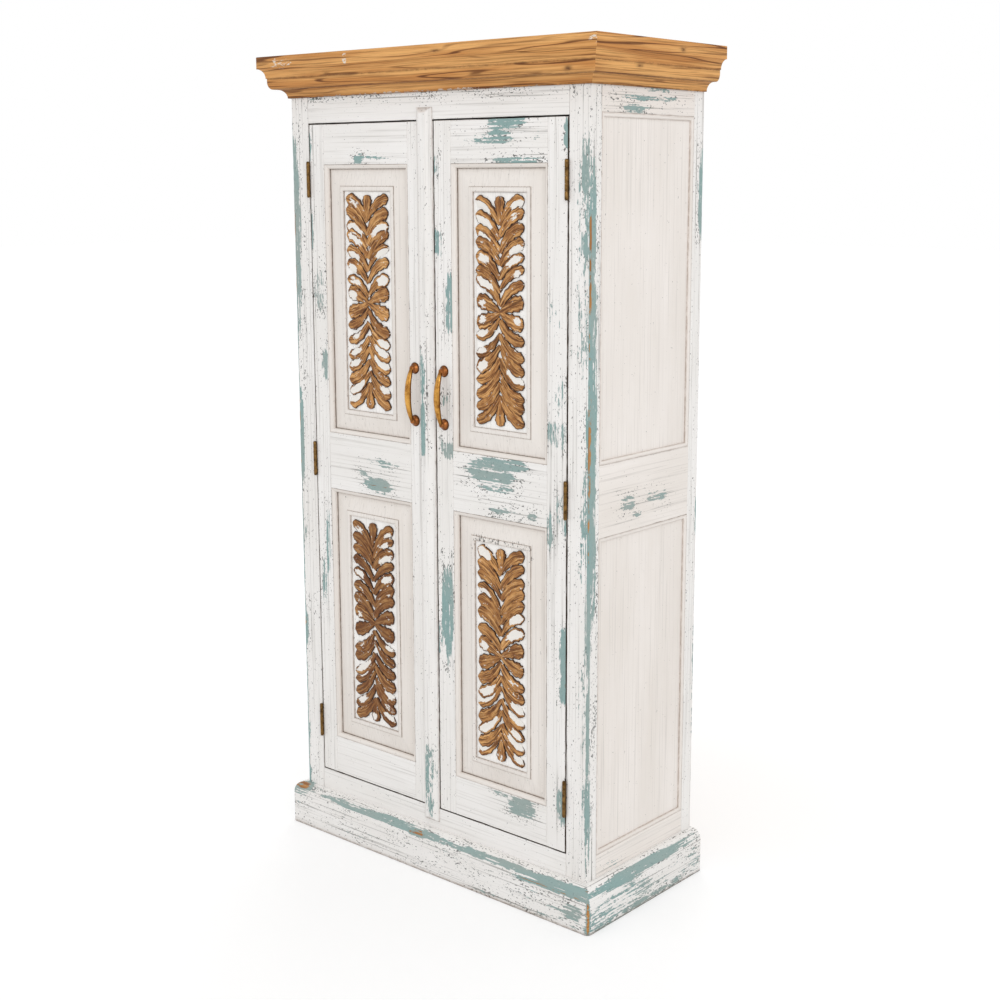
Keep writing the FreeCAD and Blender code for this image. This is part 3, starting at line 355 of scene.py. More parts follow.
# %% From worn places to notes on points
X, Y, Z = 0, 1, 2
FRONT_SKIN, SIDE_SKIN = 6.0, 3.0
PATCH_SQUARE, PATCH_RIM = 2.5, 1.5
HALO_REACH, HALO_FULL = 16.0, 0.25


def span(node):
    """A node's lowest and highest corner as arrays."""
    low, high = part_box(node)
    return np.array(low), np.array(high)


carcass_low, carcass_high = span("front_post_left")[0], span("rear_post_right")[1]


def worn_places(node, points, level, flecks):
    """For each point, how far the paint is gone and how thick the dark flecks lie."""
    wear = np.full(len(points), level)
    fleck = np.full(len(points), flecks)
    across, deep, high = ((points - [0.0, carcass_low[Y], 0.0]) / MM).T
    for face, start, end, low, top, amount in patches.get(node, ()):
        if face == "front":
            place, facing = across, deep < FRONT_SKIN
        else:
            place, facing = deep, np.abs(across) > carcass_high[X] / MM - SIDE_SKIN
        wide, tall = (end - start) / 2, (top - low) / 2
        sideways, upward = np.abs(place - (start + end) / 2), np.abs(high - (low + top) / 2)
        share = 1.0 - (sideways / wide) ** PATCH_SQUARE - (upward / tall) ** PATCH_SQUARE
        wear = np.maximum(wear, level + (amount - level) * np.clip(PATCH_RIM * share, 0.0, 1.0) * facing)
        outside = np.hypot(np.clip(sideways - wide, 0, None), np.clip(upward - tall, 0, None))
        halo = min(1.0, abs(amount) / HALO_FULL) * np.exp(-outside / HALO_REACH)
        fleck = np.maximum(fleck, halo * facing)
    return wear, fleck


print("carcass from", carcass_low, "to", carcass_high)

# %% [markdown]
# The paint itself is one tree of nodes. Each board carries five notes on its points: "spot", its own place
# with the grain along X; "edge", how far the nearest arris is; "wear" and "fleck", from the lists above;
# and a note of grime and painted shade: brown dirt in corners, and shade painted into creases and gaps.
# Noise plus wear passes one threshold where the teal shows and a second one where the wood does. Flecks,
# grain lines and a thin relief at the broken rim of the paint finish it.

# %% The worn paint
TEAL, TEAL_GREY, TEAL_DEEP = tint(138, 167, 165), tint(154, 168, 164), tint(98, 118, 117)
BARE_WOOD, BARE_DARK = tint(204, 148, 82), tint(138, 88, 46)
SPECK, PORE = tint(78, 80, 78), tint(166, 162, 157)
GRIME_AND_SHADE, DIRT_AND_SHADE = tint(132, 102, 78), tint(58, 47, 40)
TEAL_FROM, WOOD_FROM, CRISP = 0.20, 0.88, 0.02
ARRIS_WIDE, RELIEF_DEEP = 0.006, 0.0005


def worn_paint(name, fresh, aged, grain):
    """White over teal over wood; grain is how strongly the pores show where the paint is whole."""
    paint = Finish(bpy.data.materials.new(name))
    wear, thick, grime_and_shade = paint.note("wear"), paint.note("fleck"), paint.note("grime_and_shade")
    arris = paint.fade(paint.note("edge"), 0.0, ARRIS_WIDE, 1.0, 0.0)
    coat = paint.drawn(slow=0.3, scale=9.0, detail=4.0, rough=0.6)
    flake = paint.drawn(slow=0.22, scale=48.0, detail=5.0, rough=0.6)
    torn = paint.drawn(slow=0.32, scale=210.0, detail=4.0, rough=0.65)
    dots = paint.drawn(slow=0.55, scale=290.0, detail=2.0, rough=0.6)
    fibre = paint.drawn(slow=0.012, scale=260.0, detail=4.0, rough=0.62)

    streaks = paint.times(paint.swing(fibre, 0.75), thick)
    rough = paint.plus(paint.swing(flake, 0.6), paint.swing(torn, 0.5))
    level = paint.plus(rough, streaks, wear, paint.times(arris, 0.09))
    teal_shows = paint.fade(level, TEAL_FROM, TEAL_FROM + CRISP)
    wood_shows = paint.fade(level, WOOD_FROM, WOOD_FROM + CRISP)

    clusters = paint.times(paint.swing(flake, 0.28), thick)
    speckled = paint.plus(dots, paint.times(thick, 0.125), paint.times(arris, 0.03), clusters)
    specks = paint.fade(speckled, 0.725, 0.765, 0.0, 0.9)
    splits = paint.times(paint.fade(fibre, 0.60, 0.68, 0.0, 0.8), paint.fade(thick, 0.3, 1.0))
    pores = paint.times(paint.fade(fibre, 0.54, 0.70), paint.fade(thick, 0.0, 0.8, grain, 0.75))

    colour = paint.blend(paint.fade(coat, 0.35, 0.7), fresh, aged)
    colour = paint.blend(paint.fade(fibre, 0.3, 0.7, 0.0, 0.5), colour, aged)
    for amount, mark in ((pores, PORE), (splits, SPECK), (specks, SPECK)):
        colour = paint.blend(amount, colour, mark)
    old_coat = paint.blend(paint.fade(coat, 0.4, 0.62), TEAL, TEAL_GREY)
    old_coat = paint.blend(paint.fade(dots, 0.58, 0.74, 0.0, 0.6), old_coat, TEAL_DEEP)
    colour = paint.blend(teal_shows, colour, old_coat)
    timber = paint.blend(paint.fade(fibre, 0.38, 0.66), BARE_WOOD, BARE_DARK)
    colour = paint.blend(wood_shows, colour, timber)
    # Grime and painted shade: a brown line in creases and corners, and a dark one where the note is high, in
    # the gaps round the doors and at the foot of the plinth.
    colour = paint.blend(paint.times(grime_and_shade, paint.fade(torn, 0.38, 0.56, 0.4, 1.0)), colour, GRIME_AND_SHADE)
    colour = paint.blend(paint.fade(grime_and_shade, 0.6, 1.0), colour, DIRT_AND_SHADE)

    height = paint.plus(paint.times(fibre, 0.5), paint.times(torn, 0.25), paint.times(teal_shows, -0.6))
    height = paint.plus(height, paint.times(wood_shows, -0.4))
    return paint.done(colour, paint.fade(teal_shows, 0.0, 1.0, 0.55, 0.48), height, RELIEF_DEEP)


white_paint = worn_paint("white_paint_worn", tint(245, 243, 241), tint(235, 232, 228), 0.27)
# The sides' copy of the white paint is warmer and a little darker than the front's: painted shade for how
# the light falls on the sides.
side_paint_shaded = worn_paint("side_paint_worn_shaded", tint(243, 237, 232), tint(232, 225, 218), 0.30)
panel_paint = worn_paint("panel_paint_worn", tint(240, 235, 230), tint(230, 223, 216), 0.16)
# The ground of the carvings is whiter than the other paints: painted light against the shade of its pocket.
ground_paint_lit = worn_paint("ground_paint_white_lit", tint(253, 251, 249), tint(248, 245, 241), 0.08)
print("paints:", white_paint.name, side_paint_shaded.name, panel_paint.name, ground_paint_lit.name)

# %% [markdown]
# Every board becomes a block with rounded arrises on a grid of points a few millimetres apart, because the
# notes for the paint live on points. A bevel modifier on a plain block would round it too, but would leave
# no points on the faces to carry the wear. Along each side, the points lie close together at the rounded
# ends and evenly between them, and only the points on the outside of the block are kept.

# %% The grid of a board
FLAT_FROM, TURN_AT = 2.2, 0.45


def stations(length, step, soft):
    """Places along one side of a board, close together on its rounded ends."""
    half = length / 2
    flat = half - FLAT_FROM * soft
    middle = np.linspace(-flat, flat, max(2, round(2 * flat / step) + 1))
    ends = np.array([half, half - TURN_AT * soft, half - soft])
    return np.concatenate([-ends, middle, ends[::-1]])


def grid_quads(ids):
    """The faces of a sheet of points, from the rows and columns of their numbers."""
    return np.stack([ids[:-1, :-1], ids[1:, :-1], ids[1:, 1:], ids[:-1, 1:]], -1).reshape(-1, 4)


def skin_of_grid(counts):
    """Which points of a block of points lie on its outside, and the faces between them."""
    quads = []
    for axis in range(3):
        second, third = (axis + 1) % 3, (axis + 2) % 3
        rows, columns = np.meshgrid(np.arange(counts[second]), np.arange(counts[third]), indexing="ij")
        for side in (0, counts[axis] - 1):
            index = [None, None, None]
            index[axis], index[second], index[third] = np.full_like(rows, side), rows, columns
            faces = grid_quads(np.ravel_multi_index(tuple(index), counts))
            quads.append(faces if side else faces[:, ::-1])
    used, faces = np.unique(np.concatenate(quads), return_inverse=True)
    return used, faces.reshape(-1, 4)


print("a grid of 3 x 3 x 3 points has", len(skin_of_grid((3, 3, 3))[0]), "points on its outside")

# %% [markdown]
# The arrises of an old board are not only soft but dented. Where a point lies on an arris along the grain,
# slow noise pulls it in a little. Each board also gets a far-off place of its own in the noise of the
# paint, so that no two boards wear alike; the draw is seeded, so that every run gives the same cabinet.

# %% A board with soft, slightly dented arrises
DENT_SCALE, DENT_DEEP = 55.0, 0.9
SCATTER = 20
luck = np.random.default_rng(11)


def far_place():
    """A place of its own in the noise, for one board or leaf."""
    return luck.uniform(-SCATTER, SCATTER, 3)


def board(low, high, grain, soft=1.5 * MM, step=6 * MM, long_step=14 * MM):
    """The points, faces and notes of one board between two corners; grain is the axis its fibres follow."""
    low, high = np.array(low, float), np.array(high, float)
    middle, half = (low + high) / 2, (high - low) / 2
    soft = min(soft, half.min() / 3)
    lines = [stations(2 * half[axis], long_step if axis == grain else step, soft) for axis in range(3)]
    counts = tuple(len(line) for line in lines)
    used, faces = skin_of_grid(counts)
    flat = np.stack([line[place] for line, place in zip(lines, np.unravel_index(used, counts))], 1)
    inner = np.clip(flat, soft - half, half - soft)
    outward = flat - inner
    outward = outward / np.linalg.norm(outward, axis=1, keepdims=True)
    turned = [grain, (grain + 1) % 3, (grain + 2) % 3]
    spot = flat[:, turned] + far_place()
    edge = (half - np.abs(flat))[:, turned[1:]].max(axis=1)
    reach = np.full(len(flat), soft)
    for number in np.nonzero(edge < soft)[0]:
        dent = noise.noise(Vector(spot[number]) * DENT_SCALE)
        reach[number] = soft * (1.0 - DENT_DEEP * max(0.0, dent))
    return {"points": middle + inner + outward * reach[:, None], "faces": faces.tolist(),
            "spot": spot, "edge": edge, "grime_and_shade": np.zeros(len(flat))}


print("board maker ready")

# %% [markdown]
# A shape becomes a piece of the cabinet in one place: the mesh gets its notes as point attributes, smooth
# shading with sharp edges where faces meet steeply, and its finish; the object rides on the body of its
# CAD node, and that node is hidden. Where it isn't sure which way round the faces go, as on spun outlines
# and mirrored leaves, Blender turns them all outward afterwards.

# %% From a shape to a piece
import bmesh

SHARP_FROM = math.radians(48)


def face_outward(mesh):
    """Turn every face of a mesh to look outward."""
    work = bmesh.new()
    work.from_mesh(mesh)
    bmesh.ops.recalc_face_normals(work, faces=work.faces)
    work.to_mesh(mesh)
    work.free()


def gathered(shapes):
    """Several shapes as one, so that a node with many solids becomes one piece."""
    start, whole = 0, {"faces": []}
    for shape in shapes:
        whole["faces"].extend([start + corner for corner in face] for face in shape["faces"])
        start += len(shape["points"])
    for key in ("points", "spot", "edge", "grime_and_shade"):
        whole[key] = np.concatenate([shape[key] for shape in shapes])
    return whole


def make_piece(node, kind, shape, finish, level=-0.1, flecks=0.0, wear=None, outward=False):
    """A piece named NODE.KIND: it rides on its node's body and hides that node."""
    name = f"{node}.{kind}"
    mesh = bpy.data.meshes.new(name)
    mesh.from_pydata(shape["points"].tolist(), [], shape["faces"])
    worn, thick = worn_places(node, shape["points"], level, flecks)
    notes = {"wear": worn if wear is None else wear, "fleck": thick}
    notes.update({key: shape[key] for key in ("edge", "grime_and_shade")})
    for key, values in notes.items():
        mesh.attributes.new(key, "FLOAT", "POINT").data.foreach_set("value", values.astype(np.float32))
    spots = mesh.attributes.new("spot", "FLOAT_VECTOR", "POINT")
    spots.data.foreach_set("vector", shape["spot"].astype(np.float32).ravel())
    mesh.polygons.foreach_set("use_smooth", [True] * len(mesh.polygons))
    mesh.set_sharp_from_angle(angle=SHARP_FROM)
    mesh.materials.append(finish)
    mesh.update()
    if outward:
        face_outward(mesh)
    piece = in_scene(name, mesh)
    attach(piece, frame["nodes"][node]["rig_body"])
    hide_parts(node)


# %% [markdown]
# The carcass is a frame of posts and rails. The CAD rails have tenons hidden in the posts, so a rail is
# drawn from the face of one post to the face of the next. Posts have their grain upright, rails have it
# level: that alone makes the worn streaks turn at every joint, as they do on the real cabinet. The edges
# that face a door are darkened just behind their front arris, partly old dirt and partly painted shade,
# which draws the fine dark line round each door.

# %% Posts, rails and face of the carcass
GAP_SHADE_FULL, GAP_SHADE_FROM, GAP_SHADE_DEEP, GAP_SHADE_FADE = 0.95, 1.2 * MM, 15 * MM, 8 * MM
ON_EDGE = 0.3 * MM


def gap_shade_and_dirt(shape, low, high, ends):
    """Old dirt and painted shade on the edges that face a gap; ends are pairs of an axis and 0 for low or 1
    for high.
    """
    deep = shape["points"][:, Y] - low[Y]
    # Painted shade and old dirt: dark on the edges in the gaps, just behind the front arris.
    gap_shade = GAP_SHADE_FULL * (deep > GAP_SHADE_FROM) * np.clip((GAP_SHADE_DEEP - deep) / GAP_SHADE_FADE, 0.0, 1.0)
    for axis, end in ends:
        beside = np.abs(shape["points"][:, axis] - (low, high)[end][axis]) < ON_EDGE
        shape["grime_and_shade"] = np.maximum(shape["grime_and_shade"], gap_shade * beside)
    return shape


posts = {}
for node in ("front_post_left", "front_post_right", "rear_post_left", "rear_post_right"):
    posts[node] = span(node)
    shape = board(*posts[node], Z, soft=2.0 * MM)
    if node.startswith("front"):
        gap_shade_and_dirt(shape, *posts[node], [(X, int(node.endswith("left")))])
    make_piece(node, "board", shape, white_paint, level=-0.22, flecks=0.5)

for hand in ("left", "right"):
    for part in ("top", "middle", "bottom"):
        node = f"{hand}_side_{part}_rail"
        low, high = span(node)
        low[Y], high[Y] = posts[f"front_post_{hand}"][1][Y], posts[f"rear_post_{hand}"][0][Y]
        make_piece(node, "board", board(low, high, Y), side_paint_shaded, level=-0.28, flecks=0.1)

for node, gap_end in (("face_top_rail", 0), ("face_bottom_rail", 1)):
    low, high = span(node)
    low[X], high[X] = posts["front_post_left"][1][X], posts["front_post_right"][0][X]
    shape = gap_shade_and_dirt(board(low, high, X), low, high, [(Z, gap_end)])
    make_piece(node, "board", shape, white_paint, level=-0.26, flecks=0.2)
print(len(posts), "posts, 6 side rails and 2 face rails")

# %% [markdown]
# Cornice, plinth, beads and mouldings are all the same kind of thing: a moulded outline pushed along a
# line, with its ends cut at a mitre. First comes the outline: a few corners in millimetres, with rounds
# and hollows as parts of a circle, and points added on the long stretches so that the paint has somewhere
# to keep its notes.


# %% Outlines
def along_outline(corners, step):
    """A closed outline with extra points, so that no gap between two of them is much longer than a step."""
    points = []
    for start, end in zip(corners, corners[1:] + corners[:1]):
        gap = math.dist(start, end)
        for share in np.linspace(0, 1, max(1, round(gap / step)), endpoint=False):
            points.append((start[0] + (end[0] - start[0]) * share, start[1] + (end[1] - start[1]) * share))
    return np.array(points)


def outline_of(corners, step):
    """The same for corners and a step in millimetres."""
    return along_outline([(out * MM, up * MM) for out, up in corners], step * MM)


def quarter(centre, reach_out, reach_up, start, end, count=9):
    """Points of a quarter round or hollow about a centre, between two angles in degrees."""
    turns = np.radians(np.linspace(start, end, count))
    return [(centre[0] + reach_out * math.cos(a), centre[1] + reach_up * math.sin(a)) for a in turns]


def turns_left(outline):
    """True when the outline runs against the clock, from its signed area."""
    after = np.roll(outline, -1, axis=0)
    return float((outline[:, 0] * after[:, 1] - outline[:, 1] * after[:, 0]).sum()) > 0


def shade_and_dirt_line(places, line, width):
    """Dirt and painted shade at places in metres: 1 on a line and fading over a width, both in millimetres.
    """
    return np.exp(-np.abs(places - line * MM) / (width * MM))


print("a quarter round has", len(quarter((0, 0), 1, 1, 0, 90)), "points")

# %% [markdown]
# Now the outline is pushed along its run. A curve with a bevel could do it, but its ends are square and it
# carries no notes, so we push the outline ourselves. Where an outline point stands further out, the mitre
# makes its run longer. The two ends have points of their own, so that end grain shows on them instead of
# the grain of the sides.

# %% Pushing an outline along a run
CLOSE_ROWS = 9


def run(outline, low_ends, high_ends, origin, axes, edge, grime_and_shade, step=12 * MM, close=0.0):
    """A bar of the outline from low_ends to high_ends; axes are the run, the outline's first and its second.
    Within the distance close of each end, the rows of points lie close together."""
    origin, axes = np.array(origin, float), np.array(axes, float)
    low_ends = np.broadcast_to(np.asarray(low_ends, float), len(outline))
    high_ends = np.broadcast_to(np.asarray(high_ends, float), len(outline))
    length = float((high_ends - low_ends).max())
    shares = np.linspace(0, 1, max(2, round(length / step) + 1))
    if close:
        near = np.linspace(0, close / length, CLOSE_ROWS)
        between = shares[(shares > near[-1]) & (shares < 1 - near[-1])]
        shares = np.concatenate([near, between, 1 - near[::-1]])
    count, size = len(shares), len(outline)
    places = low_ends + (high_ends - low_ends) * shares[:, None]
    points = origin + places[..., None] * axes[0] + (outline[:, 0:1] * axes[1] + outline[:, 1:2] * axes[2])
    ids = np.arange(count * size).reshape(count, size)
    after = np.roll(ids, -1, axis=1)
    low_cap = list(range(count * size, (count + 1) * size))
    high_cap = [number + size for number in reversed(low_cap)]
    faces = np.stack([ids[:-1], ids[1:], after[1:], after[:-1]], -1).reshape(-1, 4).tolist()
    faces += [low_cap, high_cap]
    if turns_left(outline) == (np.linalg.det(axes) > 0):
        faces = [face[::-1] for face in faces]
    girth = np.concatenate([[0.0], np.cumsum(np.linalg.norm(np.diff(outline, axis=0), axis=1))])
    spot = np.stack([places, np.broadcast_to(girth, places.shape), np.zeros_like(places)], -1).reshape(-1, 3)
    end_spot = np.column_stack([np.zeros(size), outline])
    return {"points": np.concatenate([points.reshape(-1, 3), points[0], points[-1]]), "faces": faces,
            "spot": np.concatenate([spot, end_spot, end_spot]) + far_place(),
            "edge": np.tile(edge, count + 2), "grime_and_shade": np.tile(grime_and_shade, count + 2)}


print("run maker ready")

# %% [markdown]
# Cornice and plinth go round the front and both sides of the carcass, so one function makes the three runs
# of either. Brooms and feet have rubbed the upright corners of the plinth round: there the points that
# stand past a centre both ways are moved from a square onto a circle, which keeps both halves of the mitre
# together. Knots in the wood of the cornice are dark places, each with its middle and its reach in
# millimetres.

# %% Three mitred runs round the carcass
CLOSE_REACH = 1.2
KNOTS = {
    "cornice_front": [
        ((398, -200, 1738), (9, 40, 5)), ((-264, -207, 1757), (11, 40, 4)), ((70, -214, 1786), (12, 40, 3))],
    "cornice_right": [((470, 60, 1784), (40, 9, 5)), ((462, -60, 1747), (40, 10, 3))],
    "cornice_left": [((-470, 90, 1781), (40, 10, 5))],
}


def soften_corners(shape, reach, radius):
    """Round the upright front corners of a run that reaches out from the carcass."""
    points = shape["points"]
    centre = np.array([carcass_high[X] + reach - radius, reach - radius - carcass_low[Y]])
    past = np.stack([np.abs(points[:, X]), -points[:, Y]], 1) - centre
    corner = (past > 0).all(axis=1)
    square = past[corner]
    circle = centre + square * (square.max(axis=1) / np.linalg.norm(square, axis=1))[:, None]
    points[corner, X] = np.sign(points[corner, X]) * circle[:, 0]
    points[corner, Y] = -circle[:, 1]
    shape["edge"][corner] = 0.0


def mitred_three(kind, outline, base, finish, edge, grime_and_shade, level, step, soft=0.0):
    """Front, right and left runs of one outline round the carcass, mitred at the front corners."""
    out = outline[:, 0]
    side, front, back = carcass_high[X], carcass_low[Y], carcass_high[Y]
    courses = {
        "front": (-side - out, side + out, (0.0, front, base), ((1, 0, 0), (0, -1, 0), (0, 0, 1))),
        "right": (front - out, back, (side, 0.0, base), ((0, 1, 0), (1, 0, 0), (0, 0, 1))),
        "left": (front - out, back, (-side, 0.0, base), ((0, 1, 0), (-1, 0, 0), (0, 0, 1))),
    }
    for course, (low_ends, high_ends, origin, axes) in courses.items():
        node = f"{kind}_{course}"
        shape = run(outline, low_ends, high_ends, origin, axes, edge, grime_and_shade, step, CLOSE_REACH * soft)
        for place, reach in KNOTS.get(node, ()):
            away = np.linalg.norm((shape["points"] / MM - place) / reach, axis=1)
            shape["grime_and_shade"] = np.maximum(shape["grime_and_shade"], np.exp(-away ** 2))
        if soft:
            soften_corners(shape, out.max(), soft)
        make_piece(node, "moulding", shape, finish, level=level, flecks=0.8)


print("knots on", len(KNOTS), "cornice pieces")

# %% [markdown]
# The cornice is the only bare wood outside: honey brown with dark growth lines that run along each piece.
# A plain band pattern would look like a printed stripe, so the lines are the level lines of a slow noise
# drawn out along the grain: they bunch, part and close round eyes as they do on a sawn board. A finer
# noise gives the fibres.

# %% Natural wood
RING_BEND = 44.0
SCUFF, KNOT_AND_CREASE_DARK = tint(228, 220, 208), tint(84, 50, 26)


def natural_wood(name, light, mid, dark, lines):
    """Bare wood in three tones; lines is how many growth lines a metre holds, times two pi."""
    wood = Finish(bpy.data.materials.new(name))
    spot = wood.note("spot", "Vector")
    slow = wood.drawn(slow=0.05, scale=30.0, detail=2.0, rough=0.5)
    clump = wood.drawn(slow=0.05, scale=45.0, detail=3.0, rough=0.6)
    fibre = wood.drawn(slow=0.014, scale=330.0, detail=5.0, rough=0.7)
    scratch = wood.drawn(slow=0.5, scale=150.0, detail=5.0, rough=0.7)
    across = wood.plus(wood.add("SeparateXYZ", {0: spot}, "Y"), wood.add("SeparateXYZ", {0: spot}, "Z"))
    turn = wood.plus(wood.times(across, lines), wood.times(slow, RING_BEND))
    rings = wood.add("Math", {0: turn}, operation="SINE")
    line = wood.times(wood.fade(rings, 0.70, 0.97), wood.fade(clump, 0.38, 0.56, 0.15, 1.0))
    colour = wood.blend(wood.fade(clump, 0.40, 0.60), light, mid)
    colour = wood.blend(wood.times(line, 0.95), colour, dark)
    colour = wood.blend(wood.fade(fibre, 0.48, 0.66, 0.0, 0.65), colour, dark)
    scuffs = wood.fade(wood.plus(scratch, wood.note("wear")), 0.70, 0.73, 0.0, 0.85)
    colour = wood.blend(scuffs, colour, SCUFF)
    # Dark knots and seams, and on the cornice painted shade with dirt in the step, the quirk and the neck.
    knots_and_crease_shade = wood.times(wood.note("grime_and_shade"), wood.fade(scratch, 0.38, 0.56, 0.3, 1.0))
    colour = wood.blend(knots_and_crease_shade, colour, KNOT_AND_CREASE_DARK)
    height = wood.plus(wood.times(fibre, 0.7), wood.times(line, 0.3))
    return wood.done(colour, wood.fade(fibre, 0.3, 0.7, 0.55, 0.7), height, RELIEF_DEEP, specular=0.25)


cornice_wood = natural_wood(
    "cornice_wood_oiled", tint(232, 175, 107), tint(199, 137, 75), tint(106, 62, 28), 240.0)
inside_wood = natural_wood(
    "inside_wood_raw", tint(210, 180, 140), tint(194, 160, 118), tint(160, 122, 82), 160.0)
print("wood finishes:", cornice_wood.name, inside_wood.name)

# %% [markdown]
# The cornice outline goes up from the face of the cabinet: a short neck, a hollow, a small step, a round,
# a quirk, a second hollow and a straight band on top. Old dirt and painted shade lie in the step, in the
# quirk and where the neck meets the paint, so the notes for them follow the height along the outline.

# %% Cornice
NECK, LOW_HOLLOW, LOW_RISE = 5.0, 17.0, 19.0
ROUND_FROM, ROUND_OUT, ROUND_RISE = 28.0, 9.0, 16.5
QUIRK_FROM, QUIRK_UP = 39.0, 42.5
TOP_HOLLOW, TOP_RISE, BAND_EASE = 14.0, 20.5, 1.2

cornice_low, cornice_top = span("cornice_front")
cornice_high = (cornice_top - cornice_low)[Z] / MM
cornice_reach = (carcass_low[Y] - cornice_low[Y]) / MM
round_face = ROUND_FROM + ROUND_OUT
corners = [(0.0, cornice_high), (0.0, 0.0), (NECK, 0.0)]
corners += quarter((NECK + LOW_HOLLOW, 0.0), LOW_HOLLOW, LOW_RISE, 180, 90)[1:]
corners += [(ROUND_FROM - 0.8, LOW_RISE)]
corners += quarter((ROUND_FROM, LOW_RISE + ROUND_RISE), ROUND_OUT, ROUND_RISE, -90, 0)
corners += [(round_face, QUIRK_UP - 0.7), (round_face + 0.6, QUIRK_UP), (QUIRK_FROM, QUIRK_UP)]
corners += quarter((cornice_reach, QUIRK_UP), TOP_HOLLOW, TOP_RISE, 180, 90)[1:]
corners += [(cornice_reach, QUIRK_UP + TOP_RISE + 0.6), (cornice_reach, cornice_high - BAND_EASE),
            (cornice_reach - BAND_EASE, cornice_high)]
outline = outline_of(corners, 4)
up = outline[:, 1]
quirk_shade_and_dirt = 0.7 * shade_and_dirt_line(up, LOW_RISE, 1.2) + 0.7 * shade_and_dirt_line(up, QUIRK_UP - 0.5, 1.2)
quirk_shade_and_dirt += 0.8 * shade_and_dirt_line(up, 0.0, 1.5)
no_arris = np.ones(len(outline))
mitred_three("cornice", outline, cornice_low[Z], cornice_wood, no_arris, quirk_shade_and_dirt, -0.1, 5 * MM)
print("cornice", cornice_high, "mm high, reaching out", cornice_reach, "mm")

# %% [markdown]
# The plinth is a thick board with a rounded top edge, and the round is where feet and brooms took the
# paint off. The note "edge" is therefore smallest on the crest of the round, and the foot is painted dark
# as a shadow where it meets the floor.

# %% Plinth
PLINTH_ROUND, PLINTH_SOFT, FOOT_EASE, CREST_WIDE = 24.0, 11.0, 1.0, 7.0

plinth_low, plinth_top = span("plinth_front")
plinth_high = plinth_top[Z] / MM
plinth_thick = (carcass_low[Y] - plinth_low[Y]) / MM
middle = (plinth_thick - PLINTH_ROUND, plinth_high - PLINTH_ROUND)
corners = [(0.0, plinth_high), (0.0, 0.0), (plinth_thick - FOOT_EASE, 0.0), (plinth_thick, FOOT_EASE)]
corners += quarter(middle, PLINTH_ROUND, PLINTH_ROUND, 0, 90, 12)
outline = outline_of(corners, 6)
crest = (np.array(middle) + PLINTH_ROUND * math.sqrt(0.5)) * MM
plinth_edge = np.clip(np.linalg.norm(outline - crest, axis=1) - CREST_WIDE * MM, 0.0, None)
# Painted shadow along the foot, where the plinth meets the floor.
foot_shadow = 0.95 * shade_and_dirt_line(outline[:, 1], 0.0, 3.0)
mitred_three("plinth", outline, 0.0, white_paint, plinth_edge, foot_shadow, -0.16, 7 * MM, PLINTH_SOFT * MM)
print("plinth", plinth_high, "mm high and", plinth_thick, "mm thick")

# %% [markdown]
# Round each panel, on the sides and on the doors, runs a small stick that is rounded on its inner edge and
# mitred at the corners. Such a frame is four runs whose ends follow the outline's own distance from the
# frame's edge. It is made flat, as (across, up, rise), and a function then lays it on the side or on the
# door.


# %% Frames of mitred sticks
def stick(wide, high, radius, ease_out, ease_up, count):
    """The outline of a stick: its flat edge, a small ease, the round and the inner edge."""
    corners = [(0.0, 0.0), (0.0, high - ease_up), (ease_out, high)]
    corners += quarter((wide - radius, high - radius), radius, radius, 90, 0, count)
    return outline_of(corners + [(wide, 0.0)], 3)


def mitred_frame(area, outline, spread, grime_and_shade):
    """Four sticks round an opening; spread turns (across, up, rise) into places on the cabinet."""
    left, right, low, high = area
    inward = outline[:, 0]
    shapes = []
    for level, sign in ((True, 1), (True, -1), (False, 1), (False, -1)):
        start, end = (left, right) if level else (low, high)
        edge = np.ones(len(outline))
        shape = run(outline, start + inward, end - inward, (0, 0, 0), np.eye(3), edge, grime_and_shade)
        place, inset, rise = shape["points"].T
        if level:
            across, up = place, low + inset if sign > 0 else high - inset
        else:
            across, up = left + inset if sign > 0 else right - inset, place
        shape["points"] = spread(across, up, rise)
        shapes.append(shape)
    return gathered(shapes)


print("stick frames ready")

# %% [markdown]
# The sides have two plain panels in the frame of posts and rails, each with a small bead all round. The
# panels are boards between the rails, and both edges of the bead are brown, partly old dirt and partly
# painted shade.

# %% Side panels and their beads
BEAD_WIDE, BEAD_HIGH, BEAD_ROUND, BEAD_EASE = 9.0, 5.5, 4.5, 0.6

bead = stick(BEAD_WIDE, BEAD_HIGH, BEAD_ROUND, BEAD_EASE, BEAD_EASE, 7)
# Painted shade and dirt along both edges of the bead.
bead_shade_and_dirt = 0.6 * (shade_and_dirt_line(bead[:, 0], 0.0, 0.9) + shade_and_dirt_line(bead[:, 0], BEAD_WIDE, 0.9))


def laid_on_side(face, sign):
    """What lays (across, up, rise) on a side with this face, which looks along X by its sign."""
    return lambda across, up, rise: np.stack([face + sign * rise, across, up], 1)


for hand, sign in (("left", -1), ("right", 1)):
    panels, beads = [], []
    front, back = posts[f"front_post_{hand}"][1][Y], posts[f"rear_post_{hand}"][0][Y]
    box_low, box_high = span(f"{hand}_side_panels")
    spread = laid_on_side((box_high if sign > 0 else box_low)[X], sign)
    rails = [span(f"{hand}_side_{part}_rail") for part in ("bottom", "middle", "top")]
    for below, above in zip(rails[:-1], rails[1:]):
        low, high = below[1][Z], above[0][Z]
        corners = (box_low[X], front, low), (box_high[X], back, high)
        panels.append(board(*corners, Z, soft=0.5 * MM, step=8 * MM))
        beads.append(mitred_frame((front, back, low, high), bead, spread, bead_shade_and_dirt))
    make_piece(f"{hand}_side_panels", "boards", gathered(panels), side_paint_shaded, level=-0.5)
    make_piece(f"{hand}_side_beads", "sticks", gathered(beads), side_paint_shaded, level=-0.45, outward=True)
    print(hand, "side has", len(panels), "panels and", len(beads), "beads")

